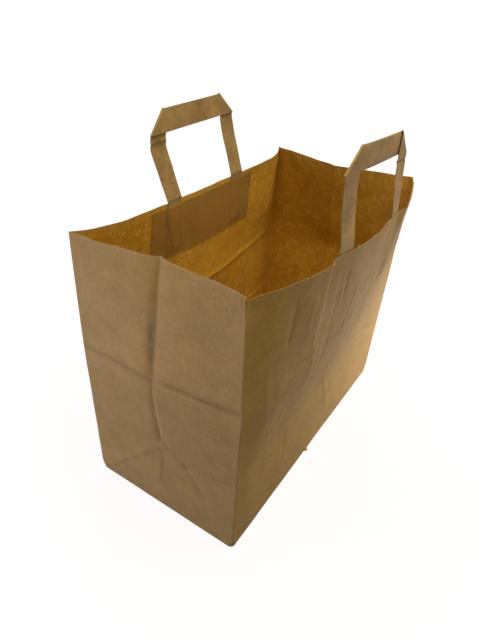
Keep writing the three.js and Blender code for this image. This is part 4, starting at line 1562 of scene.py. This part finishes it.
@dataclass
class TapeHandle:
    """A flat tape handle: two legs and a bar, folded over at 45 degrees at both top corners.

    Attributes:
        shop: What it is made with.
        name: CAD node that it stands for.
        side: Wall that it is glued to.
        lean: Lean of the tape into the bag, in degrees.
        material: Its finish.
        bend: Further lean of its bar, in degrees.
        drop: How far its first and last leg fall short.
        sway: How far it leans along the wall at its top.
        kink: How far its first and last leg stand apart, below the bar.
        flat: How far its last leg turns from the wall's bow into one plane with the bar.
        creases: Creases across its first and last leg, by their distance below the bar, each dented
            and drawn with a painted shade line; one just below the bar paints the bar's shadow on the
            leg.
        gap_shadow: Darkness of the painted shadow in the gap where the bar turns into its last leg.
        thickness: Thickness of the tape.
        outer_depth: Depth of its outer face inside the wall's outer face.
        crease_rise: Where the tape leans over, above the rim.
        free_rise: Height over which it leaves the wall's wrinkles.
        kink_height: Share of a leg's height at which the legs stand farthest apart.
        flat_height: Share of a leg's height over which the last leg turns.
        bend_span: Shares of a leg's height at which the bend starts, and over which it grows.
        bend_rows: Steps in which the bend is followed.
        bend_reach: How far it is followed, as a share of the rise.
        unrest: Height of the legs' waves.
        unrest_waves: Lengths of the legs' waves.
        unrest_ends: Lengths over which they die out at the rim and at the bar.
        across: Shares of the tape's width at which it has a line of points.
        leg_spacing: Distance between rows on the glued part of a leg.
        leg_rows: Rows of a leg's free part.
        bar_rows: Rows of the bar.
        fold_turns: Angles of the rows round a corner fold.
        fold_radius: Half the distance between the bar and the legs.
        crease_dent: Depth of a crease line, and its reach.
        edge_ply: Share of the thickness at the tape's edges.
        edge_share: Share of the width over which it thickens.
        edge_wear: Wear of the edges, and its reach as a share of the width.
        fold_wear_and_shading: Rubbed light and painted highlight of the corner folds.
        gap_shadow_place: Place of that painted shadow before the last fold, and its reach.
        rim_fold_shade: Darkness of the painted shade line where the tape leans over.
        shade_line_reach: Half the width of a painted shade line.
        tucked_light: Painted light that lifts the glued part out of its shade, and the height over
            which it starts.
        cockled: Distance below the rim from which the tape leaves the wall's cockle, and the
            height over which it does.
    """

    shop: Workshop
    name: str
    side: Side
    lean: float
    material: bpy.types.Material
    bend: float = 0.0
    drop: Spot = (0.0, 0.0)
    sway: float = 0.0
    kink: Spot = (0.0, 0.0)
    flat: float = 0.0
    creases: tuple[Lengths, Lengths] = ((), ())
    gap_shadow: float = 0.0
    thickness: float = 0.94
    outer_depth: float = 0.42
    crease_rise: float = 1.0
    free_rise: float = 12.0
    kink_height: float = 0.8
    flat_height: float = 0.6
    bend_span: Spot = (0.5, 0.55)
    bend_rows: int = 160
    bend_reach: float = 1.3
    unrest: float = 0.2
    unrest_waves: Lengths = (26.0, 41.0)
    unrest_ends: Spot = (10.0, 8.0)
    across: Lengths = (0.0, 0.02, 0.06, 0.14, 0.28, 0.43, 0.57, 0.72, 0.86, 0.94, 0.98, 1.0)
    leg_spacing: float = 2.5
    leg_rows: int = 60
    bar_rows: int = 56
    fold_turns: Lengths = (30.0, 60.0, 90.0, 120.0, 150.0)
    fold_radius: float = 1.0
    crease_dent: Spot = (0.6, 1.4)
    edge_ply: float = 0.45
    edge_share: float = 0.06
    edge_wear: Spot = (0.3, 0.03)
    fold_wear_and_shading: float = 0.4
    gap_shadow_place: Spot = (1.2, 1.6)
    rim_fold_shade: float = 0.8
    shade_line_reach: float = 1.1
    tucked_light: Spot = (0.35, 1.5)
    cockled: Spot = (2.0, 12.0)

    def _lean(self, beyond: np.ndarray) -> tuple[np.ndarray, ...]:
        """Follows the lean and the bend of the tape.

        Args:
            beyond: Distances along the tape from where it leans over.

        Returns:
            Distance into the bag, distance up, and the angle of the tape there.
        """
        size = self.shop.handle
        leg = size.rise - size.tape
        start, span = self.bend_span
        steps = np.linspace(0.0, self.bend_reach * size.rise, self.bend_rows)
        bent = smooth((steps - start * leg) / (span * leg))
        angle = math.radians(self.lean) + math.radians(self.bend) * bent
        stride = np.diff(steps, prepend=0.0)
        tables = np.cumsum(np.sin(angle) * stride), np.cumsum(np.cos(angle) * stride), angle
        return tuple(np.interp(beyond, steps, table) for table in tables)

    def _place(self, s: np.ndarray, rise: np.ndarray, depth: np.ndarray) -> np.ndarray:
        """Gives places on the handle.

        Args:
            s: Distance along the wall from its middle.
            rise: Height along the tape from the rim.
            depth: Distance inside the wall's outer face.

        Returns:
            Points in space, in millimetres.
        """
        tube, size = self.shop.tube, self.shop.handle
        leg = size.rise - size.tape
        go = np.clip((s - size.middle(self.side)) / size.width + 0.5, 0.0, 1.0)
        high = np.clip((rise - self.crease_rise) / leg, 0.0, 1.0)
        tent = np.minimum(high / self.kink_height, (1.0 - high) / (1.0 - self.kink_height))
        s = s + tent * (self.kink[1] * go - self.kink[0] * (1.0 - go)) + self.sway * high
        rise = rise - high * (self.drop[0] * (1.0 - go) + self.drop[1] * go)
        low = np.minimum(rise, self.crease_rise)
        foot_depth = np.where(rise <= self.crease_rise, depth, self.outer_depth)
        worn = 1.0 - smooth(rise / self.free_rise)
        foot = tube.place(self.side, s, tube.height + low, foot_depth, worn)
        flat = self.flat * smooth(high / self.flat_height) * go
        foot = foot + self._plane(s, foot) * flat[..., None]
        beyond = np.maximum(rise - self.crease_rise, 0.0)
        back, up, turn = self._lean(beyond)
        bends = waves(beyond, self.unrest_waves, 1.0 + 2.0 * np.round(go))
        bends = bends * self.unrest * smooth(beyond / self.unrest_ends[0])
        back = back + bends * smooth((leg - beyond) / self.unrest_ends[1])
        layer = np.where(rise > self.crease_rise, depth - self.outer_depth, 0.0)
        out, upward = np.array([*self.side.value, 0.0]), np.array([0.0, 0.0, 1.0])
        back = back + layer * np.cos(turn)
        up = up - layer * np.sin(turn)
        return foot - out * back[..., None] + upward * up[..., None]

    def _plane(self, s: np.ndarray, foot: np.ndarray) -> np.ndarray:
        """Gives the way in plan from places on the bowed wall to the chord between the legs.

        Args:
            s: Distance along the wall from its middle.
            foot: The places.

        Returns:
            Vectors in space, in millimetres.
        """
        tube, size = self.shop.tube, self.shop.handle
        ends = np.array([size.across(self.side, 0.5, start) for start in (True, False)])
        level = np.full(2, tube.height + self.crease_rise)
        first, last = tube.place(self.side, ends, level, np.full(2, self.outer_depth), 0.0)
        chord = first + (last - first) * ((s - ends[0]) / (ends[1] - ends[0]))[..., None]
        return (chord - foot) * np.array([1.0, 1.0, 0.0])

    def _leg(self, share: np.ndarray, from_start: bool) -> tuple[np.ndarray, ...]:
        """Gives a leg's rows, from its end under the patch up to its fold.

        Args:
            share: Shares of the tape's width, from the leg's outer edge.
            from_start: Whether it is the leg at the start of the wall's way.

        Returns:
            Distances along the wall, rises and depths, each rows by columns.
        """
        size = self.shop.handle
        glued = np.arange(-size.leg_depth, 0.0, self.leg_spacing)
        below = np.concatenate([glued, [0.0, self.crease_rise]])
        climb = np.linspace(0.0, 1.0, self.leg_rows + 1)[1:]
        above = self.crease_rise + climb[:, None] * (size.fold_rise(share) - self.crease_rise)
        rise = np.concatenate([np.repeat(below[:, None], len(share), axis=1), above])
        s = np.repeat(size.across(self.side, share, from_start)[None, :], len(rise), axis=0)
        depth = np.full_like(s, self.outer_depth)
        dent, reach = self.crease_dent
        for gap in self.creases[0 if from_start else 1]:
            depth += dent * bell(rise - (size.rise - size.tape - gap), reach)
        return s, rise, depth

    def _fold(self, share: np.ndarray, from_start: bool) -> tuple[np.ndarray, ...]:
        """Gives the half-round rows of a corner fold, from the leg to the bar.

        Args:
            share: Shares of the tape's width, from the leg's outer edge.
            from_start: Whether it is the fold at the start of the wall's way.

        Returns:
            Distances along the wall, rises and depths, each rows by columns.
        """
        size = self.shop.handle
        turn = np.radians(self.fold_turns)[:, None]
        past = self.fold_radius * np.sin(turn) * math.sqrt(0.5)
        s = size.across(self.side, share, from_start)[None, :] + (-past if from_start else past)
        depth = self.outer_depth + self.fold_radius * (1.0 - np.cos(turn))
        return s, size.fold_rise(share)[None, :] + past, np.repeat(depth, len(share), axis=1)

    def _bar(self, share: np.ndarray) -> tuple[np.ndarray, ...]:
        """Gives the bar's rows, from one corner fold to the other.

        Args:
            share: Shares of the tape's width, from the bar's lower edge.

        Returns:
            Distances along the wall, rises and depths, each rows by columns.
        """
        size = self.shop.handle
        go = 0.5 - 0.5 * np.cos(np.pi * np.linspace(0.0, 1.0, self.bar_rows + 1))[:, None]
        first, last = (size.across(self.side, share, start) for start in (True, False))
        s = first[None, :] + go * (last - first)[None, :]
        rise = np.repeat(size.fold_rise(share)[None, :], len(go), axis=0)
        return s, rise, np.full_like(s, self.outer_depth + 2.0 * self.fold_radius)

    def _wear(self, s: np.ndarray, rise: np.ndarray, share: np.ndarray, edge: np.ndarray,
              on: dict[Stretch, np.ndarray]) -> np.ndarray:
        """Gives the tape's rubbing and painted shading: rubbed edges, folds with rubbed light and a
        painted highlight, painted shade lines at the rim fold and in the creases, the painted shadow
        in the gap, and painted light on the glued part.

        Args:
            s: Distance along the wall from its middle.
            rise: Height along the tape from the rim.
            share: Shares of the tape's width.
            edge: Share of the width from the nearest edge.
            on: Where each stretch of the tape lies.

        Returns:
            Rubbing and painted shading between -1 and 1.
        """
        size = self.shop.handle
        rubbed, reach = self.edge_wear
        # Edges get rubbed light; folds get rubbed light and a painted highlight.
        wear = rubbed * bell(edge, reach) + self.fold_wear_and_shading * on[Stretch.FOLD]
        # Painted shadow in the gap where the bar turns into the last leg.
        short = size.across(self.side, share[None, :], False) - s - self.gap_shadow_place[0]
        wear = wear - self.gap_shadow * bell(short, self.gap_shadow_place[1]) * on[Stretch.BAR]
        # Painted shade line at the fold where the tape leans over the rim.
        wear = wear - self.rim_fold_shade * bell(rise - self.crease_rise, self.shade_line_reach) * on[Stretch.LEG]
        # Painted shade lines in the legs' creases; one just below the bar paints its shadow.
        first = s < size.middle(self.side)
        for lies, gaps in zip((first, ~first), self.creases):
            for gap in gaps:
                line = bell(rise - (size.rise - size.tape - gap), self.shade_line_reach)
                wear = wear - line * (on[Stretch.LEG] & lies)
        # Painted light that lifts the glued part out of its shade.
        tucked, height = self.tucked_light
        wear = wear + tucked * on[Stretch.LEG] * smooth((self.crease_rise - rise) / height)
        return np.clip(wear, -1.0, 1.0)

    def build(self) -> bpy.types.Object:
        """Makes the handle as one strip, from leg to leg.

        Returns:
            The piece.
        """
        share = np.array(self.across)
        parts = [
            (Stretch.LEG, self._leg(share, True)),
            (Stretch.FOLD, self._fold(share, True)),
            (Stretch.BAR, self._bar(share)),
            (Stretch.FOLD, tuple(rows[::-1] for rows in self._fold(share, False))),
            (Stretch.LEG, tuple(rows[::-1] for rows in self._leg(share, False))),
        ]
        s, rise, depth = (np.concatenate([rows[k] for _, rows in parts]) for k in range(3))
        on = {stretch: np.concatenate([np.full(rows[0].shape, kind is stretch)
                                       for kind, rows in parts]) for stretch in Stretch}
        edge = np.repeat(np.minimum(share, 1.0 - share)[None, :], len(s), axis=0)
        ply = self.edge_ply + (1.0 - self.edge_ply) * smooth(edge / self.edge_share)
        below, height = self.cockled
        sheet = Sheet.grid(self._place(s, rise, depth)).valued(
            wear=self._wear(s, rise, share, edge, on), ply=ply,
            cockle=1.0 - smooth((rise + below) / height))
        return self.shop.finish(sheet, self.name, Slot.TAPE, self.material, self.thickness)


@dataclass
class GluedPatch:
    """A paper patch glued inside a long wall, over the legs of its handle.

    Attributes:
        shop: What it is made with.
        name: CAD node that it stands for.
        side: Wall that it is glued to.
        material: Its finish.
        cracks: Creases in it, dented and drawn with painted shade, by their ends along the wall from
            its middle and up.
        margin: Reach past the outer edges of the legs.
        foot: Reach below the ends of the legs.
        drop: Distance of its top edge below the rim.
        ramp: Width over which it climbs onto a leg.
        end_ramp: Length over which it climbs onto a leg's end.
        climb: How far it stands off the wall on a leg.
        depth: Distance of its glued face inside the wall's outer face.
        spacing: Distance between rows and columns.
        crack_lift: Depth of a crack.
        crack_spread: Reach of a crack to both sides.
        crack_shade: How dark the painted shade along a crack is.
        leg_edge_shade: Darkness of the painted shade lines beside the legs' edges.
        leg_edge_shade_place: Where those lines lie from the legs' edges, and their reach.
        edge_wear: Wear of the patch's edges, and its reach.
    """

    shop: Workshop
    name: str
    side: Side
    material: bpy.types.Material
    cracks: tuple[tuple[Spot, Spot], ...] = ()
    margin: float = 20.0
    foot: float = 11.5
    drop: float = 4.5
    ramp: float = 3.2
    end_ramp: float = 11.0
    climb: float = 1.02
    depth: float = 0.42
    spacing: float = 1.25
    crack_lift: float = -0.35
    crack_spread: Spot = (2.0, 3.0)
    crack_shade: float = -0.75
    leg_edge_shade: float = 0.12
    leg_edge_shade_place: Spot = (0.5, 1.2)
    edge_wear: Spot = (0.35, 0.9)

    def _even(self, low: float, high: float) -> np.ndarray:
        """Gives evenly spaced places between two ends."""
        return np.linspace(low, high, round((high - low) / self.spacing) + 1)

    def build(self) -> bpy.types.Object:
        """Makes the patch.

        Returns:
            The piece.
        """
        tube, size = self.shop.tube, self.shop.handle
        leg_out = size.width / 2.0
        half = leg_out + self.margin
        low, high = -size.leg_depth - self.foot, -self.drop
        off, rise = np.meshgrid(self._even(-half, half), self._even(low, high))
        inside = np.minimum(np.abs(off) - (leg_out - size.tape), leg_out - np.abs(off))
        over = smooth((inside + self.ramp) / self.ramp)
        over = over * smooth((rise + size.leg_depth + self.end_ramp) / self.end_ramp)
        depth = self.depth + self.climb * over + tube.paper
        edge = np.minimum(half - np.abs(off), np.minimum(rise - low, high - rise))
        wear = self.edge_wear[0] * bell(edge, self.edge_wear[1])
        # Painted shade lines just beside the legs' edges, where the patch steps onto them.
        beside = np.abs(inside) - self.leg_edge_shade_place[0]
        wear = wear - self.leg_edge_shade * bell(beside, self.leg_edge_shade_place[1]) * (rise > -size.leg_depth)
        # Cracks are dented and drawn with painted shade.
        for start, end in self.cracks:
            crack = Crease(self.side, start, end, self.crack_lift, self.crack_spread,
                           self.crack_shade)
            dent, line = crack.shape(off, rise)
            depth, wear = depth + dent, wear + line
        places = tube.place(self.side, off + size.middle(self.side), tube.height + rise, depth)
        sheet = Sheet.grid(places, turned=True).valued(wear=np.clip(wear, -1.0, 1.0), cockle=-1.0)
        return self.shop.finish(sheet, self.name, Slot.PATCH, self.material, tube.paper)


@dataclass(frozen=True)
class SoftLight:
    """A square lamp that points at the bag.

    Attributes:
        name: The lamp's name.
        place: Where it stands, in metres.
        size: Its side, in metres.
        power: Its power, in watts.
        colour: Its colour.
    """

    name: str
    place: Place
    size: float
    power: float
    colour: Colour = (1.0, 1.0, 1.0)

    def build(self, target: Vector) -> bpy.types.Object:
        """Makes the lamp.

        Args:
            target: What it points at.

        Returns:
            The lamp.
        """
        light = bpy.data.lights.new(self.name, "AREA")
        light.shape = "SQUARE"
        light.size = self.size
        light.energy = self.power
        light.color = self.colour
        lamp = bpy.data.objects.new(self.name, light)
        lamp.location = self.place
        lamp.rotation_euler = (lamp.location - target).to_track_quat("Z", "Y").to_euler()
        lamp.visible_camera = False
        bpy.context.scene.collection.objects.link(lamp)
        return lamp


@dataclass(frozen=True)
class Studio:
    """Camera, soft light and a pale floor.

    Attributes:
        camera_place: Where the camera stands, in metres.
        azimuth: Its turn round the bag, in degrees.
        elevation: How far it looks down, in degrees.
        roll: Its roll, in degrees.
        focal_pixels: Its focal length, in pixels of the photograph.
        image_height: Height of the photograph, in pixels.
        sensor: Width of its sensor, in millimetres.
        clip_start: Nearest distance that it sees, in metres.
        target: What the lamps point at, in metres.
        floor_half: Half the floor's side, in metres.
        floor_colour: Colour with which the floor lights the bag.
        floor_white: Brightness of the floor under the bag and away from it.
        floor_fade: Distances between which it changes, in metres.
        backdrop: Colour that the camera sees behind the bag.
        ambient: Light from all round.
        lights: The lamps.
    """

    camera_place: Place = (-0.3928, -0.2191, 0.4443)
    azimuth: float = -58.5
    elevation: float = 34.64
    roll: float = 3.547
    focal_pixels: float = 512.9
    image_height: float = 641.0
    sensor: float = 36.0
    clip_start: float = 0.01
    target: Place = (0.0, 0.0, 0.14)
    floor_half: float = 6.0
    floor_colour: Colour = (0.088, 0.074, 0.06)
    floor_white: Spot = (0.92, 1.0)
    floor_fade: Spot = (0.2, 0.38)
    backdrop: Colour = (1.0, 1.0, 1.0)
    ambient: Colour = (0.028, 0.025, 0.02)
    lights: tuple[SoftLight, ...] = (
        SoftLight("window", (-0.62, 0.4, 0.44), 0.4, 1.17, (1.0, 1.01, 1.1)),
        SoftLight("low_window", (-0.58, 0.26, 0.15), 0.36, 1.32, (0.97, 0.98, 1.52)),
        SoftLight("room", (-0.9, -0.1, 1.2), 0.7, 3.1, (1.0, 0.91, 0.48)),
        SoftLight("side", (0.235, -0.25, 0.03), 0.12, 0.82, (1.0, 0.96, 1.04)),
        SoftLight("ceiling", (0.08, -0.38, 1.2), 0.9, 15.2, (1.0, 0.885, 0.52)),
        SoftLight("far_side", (0.75, 0.7, 0.6), 0.6, 7.0, (1.0, 0.96, 0.88)),
    )

    def _camera(self) -> None:
        """Places the camera at the photograph's angle."""
        turn, tip, roll = (math.radians(a) for a in (self.azimuth, self.elevation, self.roll))
        back = Vector((math.sin(turn) * math.cos(tip), -math.cos(turn) * math.cos(tip),
                       math.sin(tip)))
        right = Vector((math.cos(turn), math.sin(turn), 0.0))
        up = back.cross(right)
        across = math.cos(roll) * right + math.sin(roll) * up
        upward = -math.sin(roll) * right + math.cos(roll) * up
        camera = bpy.data.cameras.new("camera")
        camera.sensor_width = self.sensor
        camera.sensor_fit = "AUTO"
        camera.lens = self.sensor * self.focal_pixels / self.image_height
        camera.clip_start = self.clip_start
        holder = bpy.data.objects.new("camera", camera)
        axes = Matrix((across, upward, back)).transposed()
        holder.matrix_world = Matrix.Translation(self.camera_place) @ axes.to_4x4()
        bpy.context.scene.collection.objects.link(holder)
        bpy.context.scene.camera = holder

    @staticmethod
    def _seen(wires: Wiring) -> bpy.types.NodeSocket:
        """Gives 1 for what the camera, a reflection or a transmission sees, and 0 for light.

        Args:
            wires: Wiring of the material or the world.

        Returns:
            That number.
        """
        path = wires.node("ShaderNodeLightPath").outputs
        seen = path["Is Camera Ray"]
        for name in ("Is Glossy Ray", "Is Transmission Ray"):
            seen = wires.math("MAXIMUM", seen, path[name])
        return seen

    def _floor_material(self) -> bpy.types.Material:
        """Builds the floor's finish: dull to the light, and near white to the camera.

        Returns:
            The material.
        """
        material = bpy.data.materials.new("pale_floor")
        material.use_nodes = True
        material.node_tree.nodes.clear()
        wires = Wiring(material.node_tree)
        matt = wires.result("ShaderNodeBsdfDiffuse", {"Color": (*self.floor_colour, 1.0)})
        place = wires.node("ShaderNodeTexCoord").outputs["Object"]
        away = wires.node("ShaderNodeVectorMath", {0: place}, operation="LENGTH").outputs["Value"]
        white = wires.ranged(away, self.floor_fade, self.floor_white)
        level = wires.math("MULTIPLY", self._seen(wires), white)
        glow = wires.result("ShaderNodeEmission", {"Strength": level})
        both = wires.result("ShaderNodeAddShader", {0: matt, 1: glow})
        wires.node("ShaderNodeOutputMaterial", {"Surface": both})
        return material

    def _floor(self) -> None:
        """Lays the pale floor, white to the camera apart from the bag's soft shadow."""
        half = self.floor_half
        mesh = bpy.data.meshes.new("floor")
        corners = [(-half, -half, 0.0), (half, -half, 0.0), (half, half, 0.0), (-half, half, 0.0)]
        mesh.from_pydata(corners, [], [(0, 1, 2, 3)])
        mesh.materials.append(self._floor_material())
        floor = bpy.data.objects.new("floor", mesh)
        bpy.context.scene.collection.objects.link(floor)

    def _world(self) -> None:
        """Sets a white backdrop and a plain soft light from all round."""
        world = bpy.data.worlds.new("studio")
        bpy.context.scene.world = world
        world.use_nodes = True
        wires = Wiring(world.node_tree)
        level = wires.mix(self._seen(wires), self.ambient, self.backdrop)
        wires.join(level, world.node_tree.nodes["Background"].inputs["Color"])

    def build(self) -> None:
        """Sets up the studio."""
        bpy.context.scene.view_settings.view_transform = "Standard"
        self._camera()
        self._floor()
        self._world()
        for light in self.lights:
            light.build(Vector(self.target))


def main() -> None:
    """Builds the bag and its studio."""
    logging.basicConfig(level=logging.INFO, format="%(name)s: %(message)s")
    shop = Workshop(FoldedTube(), HandleSize(), PaperNodes(), ShaderGroups())
    BagBody(shop).build()
    tape = TAPE_FINISH.material(shop.groups)
    # Creases 0.3 mm below a bar paint the bar's shadow on the leg, and the front handle's gap gets a
    # painted shadow.
    TapeHandle(shop, "front_handle", Side.FRONT, 7.0, tape, bend=-6.1, drop=(-2.1, 4.8),
               sway=-0.7, flat=1.0, creases=((), (6.0,)), gap_shadow=0.95).build()
    TapeHandle(shop, "back_handle", Side.BACK, -16.8, tape, bend=9.0, drop=(-0.7, 1.3),
               sway=2.6, kink=(0.5, 3.0), creases=((0.3,), (0.3, 6.5))).build()
    patch = PATCH_FINISH.material(shop.groups)
    GluedPatch(shop, "front_patch", Side.FRONT, patch).build()
    GluedPatch(shop, "back_patch", Side.BACK, patch,
               cracks=(((62.0, -9.0), (51.0, -50.0)),)).build()
    Studio().build()


if __name__ == "__main__":
    main()
